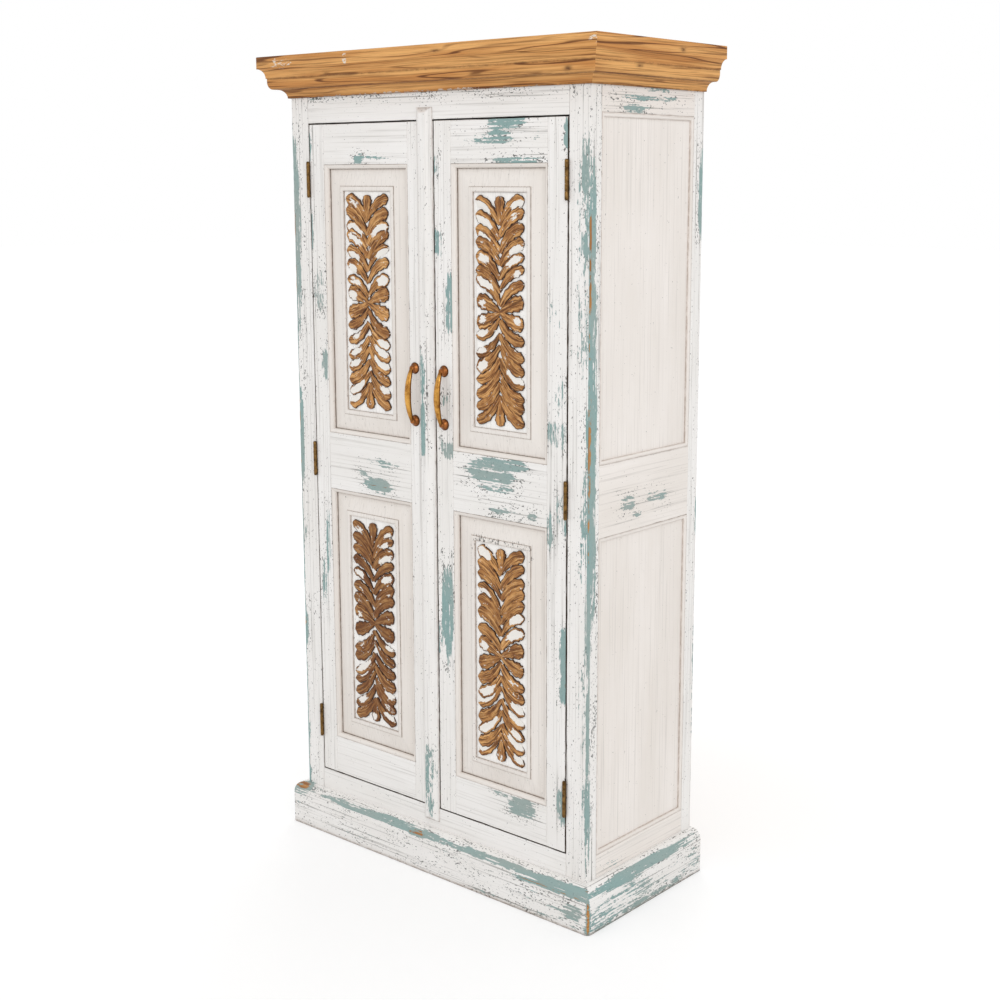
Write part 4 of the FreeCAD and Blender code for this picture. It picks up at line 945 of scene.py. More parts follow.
# %% [markdown]
# Each door is a frame of two stiles and three rails. As on the carcass, a rail is drawn between its
# stiles, and the edges that face a gap are dark. The openings that are left between the boards are kept
# for the panels.

# %% Door frames
GAP_ENDS = {"bottom": [(Z, 0)], "middle": [], "top": [(Z, 1)]}
doors = {}
for hand in ("left", "right"):
    stiles = []
    for part in ("hinge", "meeting"):
        node = f"{hand}_door_{part}_stile"
        low, high = span(node)
        stiles.append((low, high))
        outer = int((hand == "left") == (part == "meeting"))
        shape = gap_shade_and_dirt(board(low, high, Z), low, high, [(X, outer), (Z, 0), (Z, 1)])
        make_piece(node, "board", shape, white_paint, level=-0.24, flecks=0.35)
    stiles.sort(key=lambda corners: corners[0][X])
    left, right = stiles[0][1][X], stiles[1][0][X]
    rails = {}
    for part, gap_ends in GAP_ENDS.items():
        node = f"{hand}_door_{part}_rail"
        low, high = span(node)
        low[X], high[X] = left, right
        rails[part] = (low, high)
        shape = gap_shade_and_dirt(board(low, high, X), low, high, gap_ends)
        make_piece(node, "board", shape, white_paint, level=-0.25, flecks=0.2)
    openings = [(left, right, rails[below][1][Z], rails[above][0][Z])
                for below, above in (("bottom", "middle"), ("middle", "top"))]
    doors[hand] = {"openings": openings, "front": stiles[0][0][Y], "back": stiles[0][1][Y]}
    print(hand, "door opening", round((right - left) / MM, 1), "mm wide")

# %% [markdown]
# A raised panel is a stack of rectangles, one inside the next, each at its own height: the edge behind the
# moulding, a wide slope, a small lip, and the pocket that holds the carving. Joining rectangle to
# rectangle gives clean mitred corners, which a bevel on a plain block would not, and every rectangle can
# have its own grime and painted shade.

# %% Raised panels
PANEL_COLUMNS, PANEL_ROWS = 30, 64


def ring_quads(ids):
    """The faces between closed rows of points, from the numbers of the points in each row."""
    after = np.roll(ids, -1, axis=1)
    return np.stack([ids[:-1], after[:-1], after[1:], ids[1:]], -1).reshape(-1, 4).tolist()


def round_the_edge(*stretches):
    """One coordinate of the points round a square, from its start and end on each of the four edges."""
    counts = (PANEL_COLUMNS, PANEL_ROWS, PANEL_COLUMNS, PANEL_ROWS)
    parts = [np.linspace(*ends, count, endpoint=False) for ends, count in zip(stretches, counts)]
    return np.concatenate(parts)


def raised_panel(area, steps, spread):
    """Rectangles inside each other: steps are inset, rise, arris distance, and grime with painted shade of
    each.
    """
    left, right, low, high = area
    insets, rises, edges, grimes_and_shades = (np.array(column)[:, None] for column in zip(*steps))
    level = round_the_edge((-1, 1), (1, 1), (1, -1), (-1, -1))
    upright = round_the_edge((-1, -1), (-1, 1), (1, 1), (1, -1))
    across = (left + right) / 2 + level * ((right - left) / 2 - insets)
    up = (low + high) / 2 + upright * ((high - low) / 2 - insets)
    rise, edge, grime_and_shade = (np.broadcast_to(column, across.shape).ravel() for column in (rises, edges, grimes_and_shades))
    ids = np.arange(across.size).reshape(across.shape)
    faces = ring_quads(ids) + [ids[-1].tolist(), ids[0][::-1].tolist()]
    spot = np.stack([up.ravel(), across.ravel(), rise], 1) + far_place()
    points = spread(across.ravel(), up.ravel(), rise)
    return {"points": points, "faces": faces, "spot": spot, "edge": edge, "grime_and_shade": grime_and_shade}


print("one rectangle has", 2 * (PANEL_COLUMNS + PANEL_ROWS), "points")

# %% [markdown]
# The steps of the panel follow the photo: from the moulding the slope rises to a lip that stands a little
# proud, and inside the lip the pocket drops steeply. Brown lines at the foot of the moulding and of the
# lip, and the dark pocket wall, are partly dirt and partly painted shade. The points between are few,
# because the slope is flat; near the lip they are close, because its edges are eased.

# %% Door panels and their mouldings
MOULDING_WIDE, MOULDING_HIGH, MOULDING_ROUND = 9.0, 11.5, 7.5
SLOPE_WIDE, SLOPE_RISE, LIP_RISE, LIP_WIDE, POCKET_DEEP = 38.0, 7.0, 1.5, 10.0, 9.0
PANEL_BACK, PANEL_SUNK, FAR_EDGE, NEAR_EDGE = -7.0, 1.0, 0.02, 0.003

moulding = stick(MOULDING_WIDE, MOULDING_HIGH, MOULDING_ROUND, 0.4, 0.5, 9)
# Painted shade and dirt at the foot of the moulding and along its outer edge.
moulding_shade_and_dirt = shade_and_dirt_line(moulding[:, 1], 0.0, 2.0) * (moulding[:, 0] > 4 * MM)
moulding_shade_and_dirt += shade_and_dirt_line(moulding[:, 0], 0.0, 0.8)
lip, lip_top = MOULDING_WIDE + SLOPE_WIDE, SLOPE_RISE + LIP_RISE
pocket, pocket_rise = lip + LIP_WIDE, lip_top - POCKET_DEEP
slope = [(MOULDING_WIDE + SLOPE_WIDE * share, SLOPE_RISE * share, FAR_EDGE, 0.0)
         for share in np.linspace(0.1, 0.94, 8)]
# The last column is grime and painted shade: dark at the foot of the moulding, of the lip and on the pocket
# wall.
panel_steps = [
    (0.0, PANEL_BACK, FAR_EDGE, 0.0), (0.0, 0.0, FAR_EDGE, 0.0), (MOULDING_WIDE, 0.0, FAR_EDGE, 1.0),
    (MOULDING_WIDE + 1.5, 0.28, FAR_EDGE, 0.3), *slope,
    (lip - 0.6, SLOPE_RISE - 0.1, FAR_EDGE, 0.5), (lip, SLOPE_RISE, FAR_EDGE, 0.9),
    (lip + 0.1, lip_top - 0.5, 0.0, 0.5), (lip + 0.6, lip_top, 0.0, 0.0),
    (lip + 3.5, lip_top, NEAR_EDGE, 0.0), (pocket - 3.5, lip_top, NEAR_EDGE, 0.0),
    (pocket - 0.6, lip_top, 0.0, 0.2), (pocket - 0.1, lip_top - 0.5, 0.0, 0.5),
    (pocket, lip_top - 1.5, FAR_EDGE, 0.55), (pocket, pocket_rise, FAR_EDGE, 0.55)]
panel_steps = [(inset * MM, rise * MM, edge, grime_and_shade) for inset, rise, edge, grime_and_shade in panel_steps]


def laid_on_door(foot):
    """What lays (across, up, rise) on a door whose panels have their foot there."""
    return lambda across, up, rise: np.stack([across, foot - rise, up], 1)


for hand, door in doors.items():
    foot = door["front"] + (MOULDING_HIGH + PANEL_SUNK) * MM
    spread = laid_on_door(foot)
    panels, frames, door["grounds"] = [], [], []
    for left, right, low, high in door["openings"]:
        panels.append(raised_panel((left, right, low, high), panel_steps, spread))
        frames.append(mitred_frame((left, right, low, high), moulding, spread, moulding_shade_and_dirt))
        inset = pocket * MM
        door["grounds"].append((left + inset, right - inset, low + inset, high - inset))
    door["pocket"] = foot - pocket_rise * MM
    make_piece(f"{hand}_door_panels", "raised", gathered(panels), panel_paint, -0.42, 0.1, outward=True)
    make_piece(f"{hand}_door_mouldings", "sticks", gathered(frames), panel_paint, -0.36, 0.1, outward=True)
    ground_left, ground_right = door["grounds"][0][:2]
    print(hand, "door has pockets", round((ground_right - ground_left) / MM), "mm wide")

# %% [markdown]
# On the real cabinet the carved leaves were stained brown, painted over, and the paint was wiped off
# again: white stays in the gaps, in the scoops of the tips and in specks, and a dark outline is left,
# partly stain where rag and brush did not reach and partly painted shade along the relief. One finish
# does this for all leaves, from their notes: "wear" says where white stays, the note of grime and shade
# where the stain is deep or shade is painted, and "edge" how far the rim is.

# %% Finish of the carving
LEAF_LIGHT, LEAF_MID = tint(208, 152, 90), tint(162, 108, 58)
STREAK_LIGHT, STREAK_DARK = tint(234, 186, 124), tint(88, 52, 24)
LEAF_STAIN_AND_SHADE, LEAF_RIM_SHADE, LEFT_WHITE = tint(88, 44, 8), tint(52, 30, 14), tint(238, 234, 228)
RIM_FROM, RIM_TO, BITE_WIDE = 0.0005, 0.0018, 0.0028


def carved_finish(name):
    """Stained wood with streaks along each leaf, a dark rim that is partly painted shade, and rests of white
    paint.
    """
    wood = Finish(bpy.data.materials.new(name))
    rim = wood.note("edge")
    fibre = wood.drawn(slow=0.07, scale=300.0, detail=4.0, rough=0.65)
    rests = wood.drawn(slow=0.5, scale=130.0, detail=5.0, rough=0.75)
    patch = wood.cloud(wood.note("spot", "Vector"), 45.0, 4.0, 0.6)
    colour = wood.blend(wood.fade(patch, 0.40, 0.60), LEAF_LIGHT, LEAF_MID)
    colour = wood.blend(wood.fade(fibre, 0.34, 0.46, 1.0, 0.0), colour, STREAK_LIGHT)
    colour = wood.blend(wood.fade(fibre, 0.51, 0.58, 0.0, 0.85), colour, STREAK_DARK)
    # Stain and painted shade: the note darkens the leaf, and a dark outline of painted shade with stain runs
    # along its rim.
    colour = wood.blend(wood.note("grime_and_shade"), colour, LEAF_STAIN_AND_SHADE)
    colour = wood.blend(wood.fade(rim, RIM_FROM, RIM_TO, 0.9, 0.0), colour, LEAF_RIM_SHADE)
    bitten = wood.fade(rim, 0.0, BITE_WIDE, 0.10, 0.0)
    white = wood.fade(wood.plus(rests, wood.note("wear"), bitten), 0.63, 0.655)
    colour = wood.blend(white, colour, LEFT_WHITE)
    height = wood.plus(wood.times(fibre, 0.6), wood.times(patch, 0.4), wood.times(white, 0.3))
    return wood.done(colour, wood.fade(white, 0.0, 1.0, 0.5, 0.6), height, RELIEF_DEEP, specular=0.25)


carving_wood = carved_finish("carving_wood_wiped")
print("carving finish:", carving_wood.name)

# %% [markdown]
# A leaf is a small sheet of points in rows along it and columns across it. Seen from the front, it is
# narrow at the stem, wide before its round tip, bent a little, and wavy along its rim. The plan below
# gives the places of its points, and half its width in every row, for a leaf that starts at the origin.

# %% The plan of a leaf
LEAF_ROWS, LEAF_COLUMNS = 21, 11
LEAF_BEND = 1.6
WIDEST, STEM_CURVE, TIP_FROM, TIP_LONG, TIP_END = 0.78, 1.7, 0.80, 0.205, 0.01
WAVES = ((0.09, 24, 900), (0.06, 41, 500))
leaf_along, leaf_across = np.linspace(0, 1, LEAF_ROWS), np.linspace(-1, 1, LEAF_COLUMNS)


def leaf_plan(length, wide, start, end, stem):
    """Places of a leaf that turns from start to end, and its half widths; stem is its width at the root."""
    heading = start + (end - start) * leaf_along ** LEAF_BEND
    ahead = np.stack([np.cos(heading), np.sin(heading)], 1)
    strides = (ahead[1:] + ahead[:-1]) / 2 * np.diff(leaf_along)[:, None] * length
    path = np.concatenate([[[0.0, 0.0]], np.cumsum(strides, axis=0)])
    growth = np.sin(np.clip(leaf_along / WIDEST, 0, 1) * math.pi / 2) ** STEM_CURVE
    tip = np.clip(leaf_along - TIP_FROM, 0, None) / TIP_LONG
    half = wide / 2 * (stem + (1 - stem) * growth) * np.sqrt(np.clip(1 - tip ** 2, TIP_END, 1))
    wavy = half * (1 + sum(high * np.sin(leaf_along * fast + length * turn) for high, fast, turn in WAVES))
    aside = np.stack([-ahead[:, 1], ahead[:, 0]], 1)
    return path[:, None, :] + aside[:, None, :] * (wavy[:, None] * leaf_across)[..., None], half


print("a leaf has", LEAF_ROWS * LEAF_COLUMNS, "points on top")

# %% [markdown]
# Seen from the side, a leaf rises from its stem, is crowned across its width, has a vein pressed into it,
# and may have a scoop cut out of its tip with a gouge. A bump in the finish could fake this, but it would
# vanish from the side, so the relief is real. The scoop is longer on a leaf with a wide stem, and leans to
# one side.

# %% The relief of a leaf
LEAF_TALL = 4.4 * MM
STEM_HIGH, SWOLLEN_AT, RIM_HIGH = 0.72, 0.5, 0.64
VEIN_DEEP, VEIN_WIDE, VEIN_START = 0.20, 0.17, 3
SCOOP_DEEP, SCOOP_WIDE, SCOOP_END, SCOOP_SHORT, SCOOP_GROWS = 0.5, 0.68, 0.99, 0.21, 0.5
STEM_LEAST = 0.30


def leaf_relief(scoop, lean, stem):
    """In every point of a leaf, its rise over the ground and the depths of its vein and scoop."""
    s, t = leaf_along[:, None], leaf_across[None, :]
    swell = STEM_HIGH + (1 - STEM_HIGH) * np.sin(np.clip(s / SWOLLEN_AT, 0, 1) * math.pi / 2)
    crown = RIM_HIGH + (1 - RIM_HIGH) * (1 - t ** 2)
    vein = VEIN_DEEP * np.exp(-(t / VEIN_WIDE) ** 2) * np.clip(s * VEIN_START, 0, 1)
    long = SCOOP_SHORT + SCOOP_GROWS * (stem - STEM_LEAST)
    along, aside = (s - SCOOP_END + long) / long, (t - lean) / SCOOP_WIDE
    hollow = np.exp(-along ** 2 - aside ** 4) * scoop
    return LEAF_TALL * swell * (crown - vein - SCOOP_DEEP * hollow), vein, hollow


print("leaves stand", LEAF_TALL / MM, "mm over their ground")

# %% [markdown]
# Plan and relief together make the leaf: the sheet on top, a wall down to the ground all round, and a
# bottom a little below the ground, so that no gap shows. Hand and way mirror it to the left and downward.
# Its notes are worked out here too: dark at the rim, in the vein and on the walls, partly stain and partly
# painted shade; white in the scoop but not on the very rim, which stays brown.

# %% One carved leaf
FOOT_SUNK = 0.6 * MM
RIM_SHADE_WIDE, VEIN_SHADE, KEPT_RIM = 1.4 * MM, 1.44, 0.8 * MM
WHITE_MOST, WHITE_FROM, WHITE_FADE, RIM_KEEPS = 0.34, 0.20, 0.40, 0.10
WALL_SHADE, WALL_WHITE = 0.8, -0.05


def leaf(root, length, wide, start, end, hand, way, scoop, lean, stem=0.34):
    """A leaf from root, turning from start to end, with a scoop in its tip that may lean to one side."""
    flat, half = leaf_plan(length, wide, start, end, stem)
    rise, vein, hollow = leaf_relief(scoop, lean, stem)
    ids = np.arange(rise.size).reshape(rise.shape)
    rim = np.concatenate([ids[0], ids[1:, -1], ids[-1, -2::-1], ids[-2:0:-1, 0]]).tolist()
    foot = list(range(rise.size, rise.size + len(rim)))
    walls = [[a, b, d, c] for a, b, c, d in zip(rim, rim[1:] + rim[:1], foot, foot[1:] + foot[:1])]
    top = np.concatenate([flat, rise[..., None]], -1).reshape(-1, 3)
    points = np.concatenate([top, top[rim] * [1, 1, 0] - [0, 0, FOOT_SUNK]])
    points[:, :2] = (points[:, :2] + root) * [hand, way]
    aside = half[:, None] * leaf_across
    room = (half[:, None] * (1 - np.abs(leaf_across))).ravel()
    along = np.broadcast_to(leaf_along[:, None] * length, rise.shape)
    lay = np.stack([along, aside, np.zeros_like(aside)], -1).reshape(-1, 3)
    # Painted shade with stain: dark along the rim and in the vein, and on the walls down to the ground.
    dark = np.exp(-room / RIM_SHADE_WIDE) + vein.ravel() * VEIN_SHADE
    white = WHITE_MOST * np.clip((hollow.ravel() - WHITE_FROM) / WHITE_FADE, 0, 1)
    white = white - RIM_KEEPS * np.exp(-room / KEPT_RIM)
    wall = np.ones(len(rim))
    return {"points": points, "faces": grid_quads(ids).tolist() + walls + [foot[::-1]],
            "spot": np.concatenate([lay, lay[rim]]) + far_place(), "edge": np.concatenate([room, 0 * wall]),
            "grime_and_shade": np.clip(np.concatenate([dark, WALL_SHADE * wall]), 0, 1),
            "rests": np.concatenate([white, WALL_WHITE * wall])}


print("leaf maker ready")

# %% [markdown]
# An insert is a chevron of leaves that point away from a flower in the middle: seven pairs upward, seven
# pairs downward, four broad leaves across the middle and one upright leaf at each end. A carver never cuts
# two leaves alike, so angles, widths, stems and scoops are drawn by seeded chance. The last pair of each
# half ends exactly at the margin, and the others are spread evenly between it and the flower.

# %% All leaves of one insert
LEAF_PAIRS, LEAF_WIDE, END_LEAF = 7, 26.5 * MM, 52 * MM
FLOWER_ROOM, MARGIN, STEM = 15 * MM, 8 * MM, 0.5 * MM
LEAF_START, LEAF_END = math.radians(58), math.radians(-4)
START_SWAY, END_SWAY, END_OPENS, RISE_SWAY, WIDE_SWAY = 0.08, 0.14, 0.2, 4 * MM, 0.16
TURN_SHARES, TIP_ROOM, STEM_MOST = np.linspace(0, 1, 40), 0.30, 0.66
SCOOP_CHANCE, CROSS_CHANCE, END_CHANCE = (-0.3, 1.4), (-0.6, 0.8), (0.0, 0.6)
LEANS, CROSS_LEAN, END_LEAN = [-0.6, -0.4, 0.0], -0.3, 0.2
CROSS_ANGLE, CROSS_WIDE, CROSS_SHORT = math.radians(20), 1.25, 0.98
CROSS_START, CROSS_END = CROSS_ANGLE + 0.15, CROSS_ANGLE - 0.2


def sway():
    """A number from -1 to 1 by seeded chance."""
    return luck.uniform(-1, 1)


def chevron_leaf(number, reach_out, reach_up, hand, way, wiped):
    """Leaf of this number, counted from the flower, on one side of one half of an insert."""
    share = number / (LEAF_PAIRS - 1)
    start = LEAF_START + START_SWAY * sway()
    end = LEAF_END + END_SWAY * sway() + END_OPENS * share
    turn = TURN_SHARES ** LEAF_BEND * (end - start) + start
    length = (reach_out - STEM) / np.cos(turn).mean()
    tip = length * np.sin(turn).mean() + TIP_ROOM * LEAF_WIDE
    rise = FLOWER_ROOM + (reach_up - tip - FLOWER_ROOM) * share
    rise += RISE_SWAY * sway() * (number < LEAF_PAIRS - 1)
    wide = LEAF_WIDE * (1 + WIDE_SWAY * sway())
    scoop = max(0.0, luck.uniform(*SCOOP_CHANCE)) * wiped
    lean = luck.choice(LEANS)
    stem = luck.uniform(STEM_LEAST, STEM_MOST)
    return leaf((STEM, rise), length, wide, start, end, hand, way, scoop, lean, stem)


def carved_insert(area, wiped):
    """All leaves of one insert, about its own middle; wiped is how white its scoops are."""
    left, right, low, high = area
    reach_out, reach_up = (right - left) / 2 - MARGIN, (high - low) / 2 - MARGIN
    upright = math.pi / 2
    shapes = []
    for way in (1, -1):
        for hand in (1, -1):
            for number in range(LEAF_PAIRS):
                shapes.append(chevron_leaf(number, reach_out, reach_up, hand, way, wiped))
            length = (reach_out - STEM) / math.cos(CROSS_ANGLE) * CROSS_SHORT
            scoop = max(0.0, luck.uniform(*CROSS_CHANCE)) * wiped
            shapes.append(leaf((STEM, STEM), length, LEAF_WIDE * CROSS_WIDE, CROSS_START, CROSS_END,
                               hand, way, scoop, CROSS_LEAN))
        scoop = luck.uniform(*END_CHANCE)
        shapes.append(leaf((0.0, reach_up - END_LEAF), END_LEAF, LEAF_WIDE, upright, upright,
                           1, way, scoop, END_LEAN))
    return shapes


print(LEAF_PAIRS, "pairs of leaves in each half of an insert")

# %% [markdown]
# Each insert is a thin white plate in the pocket of its panel with the leaves standing on it. The lower
# insert of the left door is stained darker than the others and less white is left on it, as in the photo.

# %% Carved inserts
PLATE, PLATE_ROOM = 5 * MM, 0.3 * MM
DARK_STAIN, DARK_WIPED = 0.38, 0.6
STAIN_SWAY = (-0.05, 0.22)
for hand, door in doors.items():
    node = f"{hand}_door_carvings"
    leaves, grounds = [], []
    surface = door["pocket"] - PLATE
    for number, area in enumerate(door["grounds"]):
        left, right, low, high = area
        plate_low = (left + PLATE_ROOM, surface, low + PLATE_ROOM)
        plate_high = (right - PLATE_ROOM, door["pocket"], high - PLATE_ROOM)
        grounds.append(board(plate_low, plate_high, Z, soft=0.4 * MM))
        stain, wiped = (DARK_STAIN, DARK_WIPED) if hand == "left" and number == 0 else (0.0, 1.0)
        for shape in carved_insert(area, wiped):
            shape["grime_and_shade"] = np.clip(shape["grime_and_shade"] + stain + luck.uniform(*STAIN_SWAY), 0.0, 1.0)
            across, up, rise = shape["points"].T
            across, up = across + (left + right) / 2, up + (low + high) / 2
            shape["points"] = np.stack([across, surface - rise, up], 1)
            leaves.append(shape)
    rests = np.concatenate([shape["rests"] for shape in leaves])
    make_piece(node, "leaves", gathered(leaves), carving_wood, wear=rests, outward=True)
    make_piece(node, "grounds", gathered(grounds), ground_paint_lit, -0.40, 0.2)
    print(node, "has", len(leaves), "leaves")

# %% [markdown]
# A flat strip with sloped sides covers the gap between the doors. It is fixed to the left door, so it
# rides with it. It is one more outline on a run, with its ends cut back at a slope as well.

# %% Cover strip
STRIP_SLOPE, STRIP_EASE, EASE_DROP, EASE_IN = 14.5 * MM, 1.2 * MM, 0.8 * MM, 0.6 * MM

strip_low, strip_high = span("left_door_cover_strip")
proud, wide = (strip_high - strip_low)[Y], (strip_high - strip_low)[X]
corners = [(0.0, 0.0), (wide, 0.0), (wide - STRIP_SLOPE + STRIP_EASE, proud - EASE_DROP),
           (wide - STRIP_SLOPE - EASE_IN, proud), (STRIP_SLOPE + EASE_IN, proud),
           (STRIP_SLOPE - STRIP_EASE, proud - EASE_DROP)]
outline = along_outline(corners, 3.5 * MM)
strip_edge = np.abs(np.abs(outline[:, 0] - wide / 2) - (wide / 2 - STRIP_SLOPE))
# Painted shade and dirt along the foot of the strip, where it meets the door.
strip_shade_and_dirt = 0.55 * shade_and_dirt_line(outline[:, 1], 0.0, 0.9)
cover = run(outline, strip_low[Z] + outline[:, 1], strip_high[Z] - outline[:, 1],
            (strip_low[X], strip_high[Y], 0.0), ((0, 0, 1), (1, 0, 0), (0, -1, 0)), strip_edge, strip_shade_and_dirt)
make_piece("left_door_cover_strip", "bar", cover, white_paint, -0.24, 0.3, outward=True)
print("cover strip", round(wide / MM), "mm wide, standing out", round(proud / MM), "mm")

# %% [markdown]
# The metal is old: the bows are golden where hands polish them, the rosettes have gone copper brown, the
# hinges are dull. Each metal is a blend of three tones by a cloudy noise, with the third in spots and
# where the note of grime and painted shade says so, and the same noise makes it rougher where it is dull.
# One recipe with other tones serves all four.

# %% Metal finishes
FINE_RELIEF = 0.0002


def aged_metal(name, bright, dull, dark, scale, rough):
    """Metal in three tones; scale is how fine its stains are, rough how dull its polished places are."""
    metal = Finish(bpy.data.materials.new(name))
    stain = metal.cloud(metal.place(), scale, 5.0, 0.62)
    fine = metal.cloud(metal.place(), scale * 9, 3.0, 0.6)
    colour = metal.blend(metal.fade(stain, 0.38, 0.62), bright, dull)
    spots = metal.fade(metal.plus(metal.times(stain, 0.6), metal.times(fine, 0.4)), 0.53, 0.66)
    colour = metal.blend(spots, colour, dark)
    colour = metal.blend(metal.note("grime_and_shade"), colour, dark)
    height = metal.plus(metal.times(fine, 0.6), metal.times(stain, 0.4))
    roughness = metal.fade(stain, 0.3, 0.7, rough, rough + 0.22)
    return metal.done(colour, roughness, height, FINE_RELIEF, metallic=1.0, specular=0.5)


bow_brass = aged_metal("bow_brass", tint(216, 164, 84), tint(184, 130, 60), tint(104, 60, 28), 60.0, 0.20)
rosette_brass = aged_metal(
    "rosette_copper", tint(168, 106, 60), tint(130, 78, 42), tint(58, 32, 18), 90.0, 0.26)
hinge_brass = aged_metal(
    "hinge_brass_aged", tint(138, 106, 62), tint(94, 70, 40), tint(46, 33, 20), 110.0, 0.30)
plate_steel = aged_metal(
    "plate_zinc", tint(196, 198, 200), tint(176, 178, 180), tint(134, 136, 138), 70.0, 0.30)
print("metals:", bow_brass.name, rosette_brass.name, hinge_brass.name, plate_steel.name)

# %% [markdown]
# The handles are cast bows on two turned rosettes, with a bolt head behind each. Rosettes and heads are
# turned, so one helper spins an outline of (radius, distance out) about the axis that stands out of the
# door. A bow is a tube whose section changes along its path, which a curve with one bevel could not give,
# so its rings are set one by one.

# %% Turned and swept metal
FLANK_SHADE, FLANK_NARROW, BEHIND_SHADE, BEHIND_FROM = 0.9, 8, 0.4, -0.5


def plain_shape(points, faces):
    """A shape with no grime and no arrises."""
    points = np.array(points)
    edge, grime_and_shade = np.ones(len(points)), np.zeros(len(points))
    return {"points": points, "faces": faces, "spot": points, "edge": edge, "grime_and_shade": grime_and_shade}


def turned_part(outline, sides=36):
    """An outline of (radius, distance out) in millimetres, spun about the axis that points towards -Y."""
    turns = np.linspace(0, 2 * math.pi, sides, endpoint=False)
    points, rings, faces = [], [], []
    for radius, out in outline:
        around = turns if radius else turns[:1]
        rings.append(list(range(len(points), len(points) + len(around))))
        points.extend((radius * MM * math.cos(a), -out * MM, radius * MM * math.sin(a)) for a in around)
    for lower, upper in zip(rings[:-1], rings[1:]):
        for number in range(sides):
            following = (number + 1) % sides
            if len(lower) == 1:
                faces.append([lower[0], upper[following], upper[number]])
            elif len(upper) == 1:
                faces.append([lower[number], lower[following], upper[0]])
            else:
                faces.append([lower[number], lower[following], upper[following], upper[number]])
    return plain_shape(points, faces)


def swept_bow(path, wide, deep, sides):
    """A tube along a path in the plane of the bow; wide and deep are its half sizes at each point."""
    ahead = np.gradient(path, axis=0)
    ahead /= np.linalg.norm(ahead, axis=1, keepdims=True)
    outward = np.stack([np.zeros(len(path)), -ahead[:, 2], ahead[:, 1]], 1)
    turns = np.linspace(0, 2 * math.pi, sides, endpoint=False)
    rings = path[:, None, :] + outward[:, None, :] * (np.cos(turns) * deep[:, None])[..., None]
    rings[..., X] += np.sin(turns) * wide[:, None]
    ids = np.arange(len(path) * sides).reshape(len(path), sides)
    shape = plain_shape(rings.reshape(-1, 3), ring_quads(ids) + [ids[0][::-1].tolist(), ids[-1].tolist()])
    # Patina and painted shade: dark along both flanks and on the back that faces the door.
    dark = FLANK_SHADE * np.abs(np.sin(turns)) ** FLANK_NARROW + BEHIND_SHADE * (np.cos(turns) < BEHIND_FROM)
    shape["grime_and_shade"] = np.tile(dark, len(path))
    return shape


print("turning and sweeping ready")

# %% [markdown]
# A bow leaves its rosettes thin, swells to the middle and stands out as far as its CAD solid does. It is
# dark at the feet from old patina; behind and along both flanks it is dark partly from patina and partly
# as painted shade, and so is the ring near the rim of the rosettes.

# %% Handles
ROSETTE = [(0, 0), (12.5, 0), (12.5, 0.9), (12.1, 1.7), (11.2, 2.3), (10.6, 2.5), (10.2, 3.3), (9.0, 4.6),
           (7.6, 5.8), (6.6, 7.2), (6.2, 8.8), (6.0, 10.6), (5.2, 12.2), (3.4, 13.4), (0, 13.8)]
BOLT_HEAD = [(0, 0), (4.2, 0), (4.2, 1.2), (3.6, 1.9), (2.2, 2.3), (0.9, 2.4), (0.7, 1.7), (0, 1.7)]
HANDLE_CENTRES, FOOT_HIGH = 114.0 * MM, 10.4 * MM
BOW_POINTS, BOW_SIDES, BOW_CURVE, SWELL_CURVE = 49, 24, 2.2, 1.6
FOOT_WIDE, SWELL_WIDE, FOOT_DEEP, SWELL_DEEP = 4.6 * MM, 3.8 * MM, 3.6 * MM, 1.8 * MM
FOOT_DARK_FROM, FOOT_DARK = 0.7, 3
RIM_RADIUS, RIM_WIDE, ROSETTE_RIM_SHADE = 12.0 * MM, 1.4 * MM, 0.9


def bow_of(centre, middle, front, reach):
    """The bow of one handle, about its middle, standing out from the front of its door by its reach."""
    s = np.linspace(-1, 1, BOW_POINTS)
    sag = reach - FOOT_HIGH - FOOT_DEEP - SWELL_DEEP
    out = FOOT_HIGH + sag * (1 - np.abs(s) ** BOW_CURVE)
    path = np.stack([np.full(BOW_POINTS, centre), front - out, middle + s * HANDLE_CENTRES / 2], 1)
    swell = 1 - np.abs(s) ** SWELL_CURVE
    bow = swept_bow(path, FOOT_WIDE + SWELL_WIDE * swell, FOOT_DEEP + SWELL_DEEP * swell, BOW_SIDES)
    dark_feet = np.clip(np.abs(s) - FOOT_DARK_FROM, 0, None) * FOOT_DARK
    bow["grime_and_shade"] = np.clip(bow["grime_and_shade"] + np.repeat(dark_feet, BOW_SIDES), 0, 1)
    return bow


for hand, door in doors.items():
    node = f"{hand}_door_handle"
    low, high = span(node)
    centre, middle = (low[X] + high[X]) / 2, (low[Z] + high[Z]) / 2
    reach = door["front"] - low[Y]
    rosettes = []
    for side in (-0.5, 0.5):
        foot = middle + side * HANDLE_CENTRES
        rosette, head = turned_part(ROSETTE), turned_part(BOLT_HEAD)
        radius = np.hypot(rosette["points"][:, X], rosette["points"][:, Z])
        # Patina and painted shade: a dark ring near the rosette's rim, where it meets the door.
        rosette["grime_and_shade"] = ROSETTE_RIM_SHADE * np.exp(-((radius - RIM_RADIUS) / RIM_WIDE) ** 2)
        rosette["points"] = rosette["points"] + [centre, door["front"], foot]
        head["points"] = head["points"] * [1, -1, 1] + [centre, door["back"], foot]
        rosettes += [rosette, head]
    make_piece(node, "bow", bow_of(centre, middle, door["front"], reach), bow_brass, outward=True)
    make_piece(node, "rosettes", gathered(rosettes), rosette_brass, outward=True)
    print(node, "reaches out", round(reach / MM, 1), "mm")

# %% [markdown]
# The hinges, screws, catches and plates already have their true shapes in the CAD model, so they stay and
# get a finish of their own. A bevel modifier eases their sharp edges, which is what makes small metal
# catch the light; a weld before it joins the faces, because a bevel needs edges that two faces share.

# %% Hinges, screws and catches
EASE, WELD_WITHIN, EASE_FROM = 0.25 * MM, 0.00001, math.radians(40)


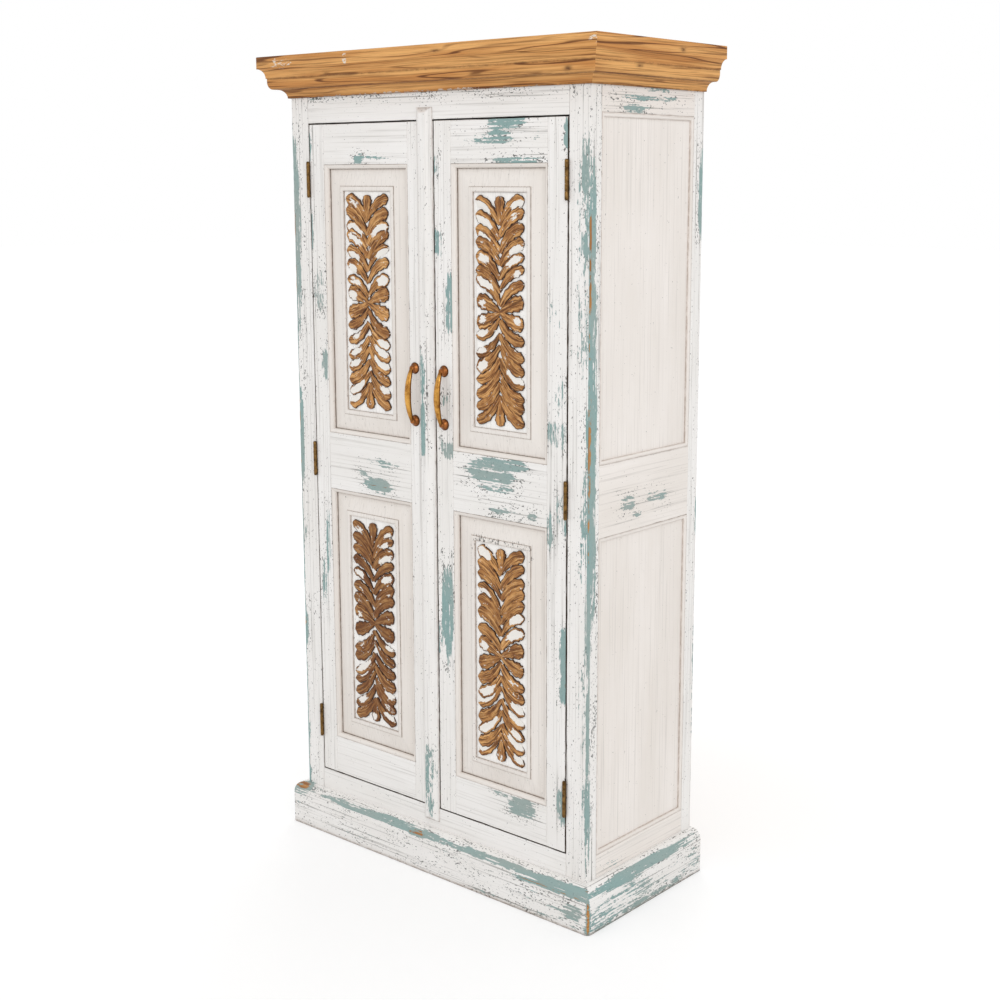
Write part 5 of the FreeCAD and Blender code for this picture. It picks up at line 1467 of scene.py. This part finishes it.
def dress_node(node, finish):
    """Give a CAD node a finish and slightly eased edges."""
    thing = frame["nodes"][node]
    for slot in thing.material_slots:
        slot.link = "OBJECT"
        slot.material = finish
    weld = thing.modifiers.new("weld", "WELD")
    weld.merge_threshold = WELD_WITHIN
    bevel = thing.modifiers.new("eased_edges", "BEVEL")
    bevel.width, bevel.segments = EASE, 2
    bevel.limit_method, bevel.angle_limit = "ANGLE", EASE_FROM
    bevel.harden_normals = False


plastic = Finish(bpy.data.materials.new("catch_plastic_moulded"))
mottle = plastic.cloud(plastic.place(), 500.0, 3.0, 0.6)
catch_colour = plastic.blend(plastic.fade(mottle, 0.4, 0.6), tint(98, 66, 42), tint(82, 54, 34))
catch_plastic = plastic.done(catch_colour, plastic.fade(mottle, 0.3, 0.7, 0.4, 0.55), mottle, FINE_RELIEF)
small_parts = {
    hinge_brass: ["hinge_frame_leaves", "hinge_pins", "left_door_hinge_leaves", "right_door_hinge_leaves",
                  "hinge_frame_screws", "left_door_hinge_screws", "right_door_hinge_screws"],
    plate_steel: ["left_door_catch_plate", "right_door_catch_plate"],
    catch_plastic: ["door_catches"],
}
for finish, nodes in small_parts.items():
    for node in nodes:
        dress_node(node, finish)
    print(finish.name, "on", len(nodes), "nodes")

# %% [markdown]
# A CAD node may hold several solids: the cleats under the shelves and the boards of the back are such
# groups. To dress them one by one we need each solid's corners, so a helper walks from face to face:
# points that share a face get the same number, the lowest one, until no number changes any more.


# %% The solids of a node
def solids_of(node):
    """The lowest and highest corner of every separate solid in a node."""
    mesh = frame["nodes"][node].data
    places = np.array([vertex.co[:] for vertex in mesh.vertices])
    unique, same = np.unique(np.round(places, 6), axis=0, return_inverse=True)
    faces = [same.ravel()[list(face.vertices)] for face in mesh.polygons]
    group = np.arange(len(unique))
    before = None
    while before is None or (group != before).any():
        before = group.copy()
        for corners in faces:
            group[corners] = group[corners].min()
    solids = [unique[group == number] for number in np.unique(group)]
    return [(points.min(axis=0), points.max(axis=0)) for points in solids]


print("shelf_cleats holds", len(solids_of("shelf_cleats")), "solids")

# %% [markdown]
# Inside and behind, the wood is raw: shelves on cleats, a bottom, a top, two rails and five boards in the
# back. They are boards like the others under another finish; the boards of the back have wider eased
# edges, dark at the seams.

# %% Inside, top and back
SEAM, SEAM_DARK = 2.5 * MM, 0.9
for node in ("bottom_board", "lower_shelf", "middle_shelf", "upper_shelf", "top_board"):
    make_piece(node, "board", board(*span(node), X, step=8 * MM), inside_wood)
for node in ("back_top_rail", "back_bottom_rail"):
    low, high = span(node)
    low[X], high[X] = posts["rear_post_left"][1][X], posts["rear_post_right"][0][X]
    make_piece(node, "board", board(low, high, X), inside_wood)
cleats = [board(low, high, Y, step=8 * MM) for low, high in solids_of("shelf_cleats")]
make_piece("shelf_cleats", "boards", gathered(cleats), inside_wood)
back_boards = []
for low, high in solids_of("back_boards"):
    shape = board(low, high, Z, soft=SEAM, step=8 * MM)
    beside = np.minimum(shape["points"][:, X] - low[X], high[X] - shape["points"][:, X])
    shape["grime_and_shade"] = SEAM_DARK * np.exp(-beside / SEAM)
    back_boards.append(shape)
make_piece("back_boards", "boards", gathered(back_boards), inside_wood)
print(len(cleats), "cleats and", len(back_boards), "boards of the back")

# %% An import
import json
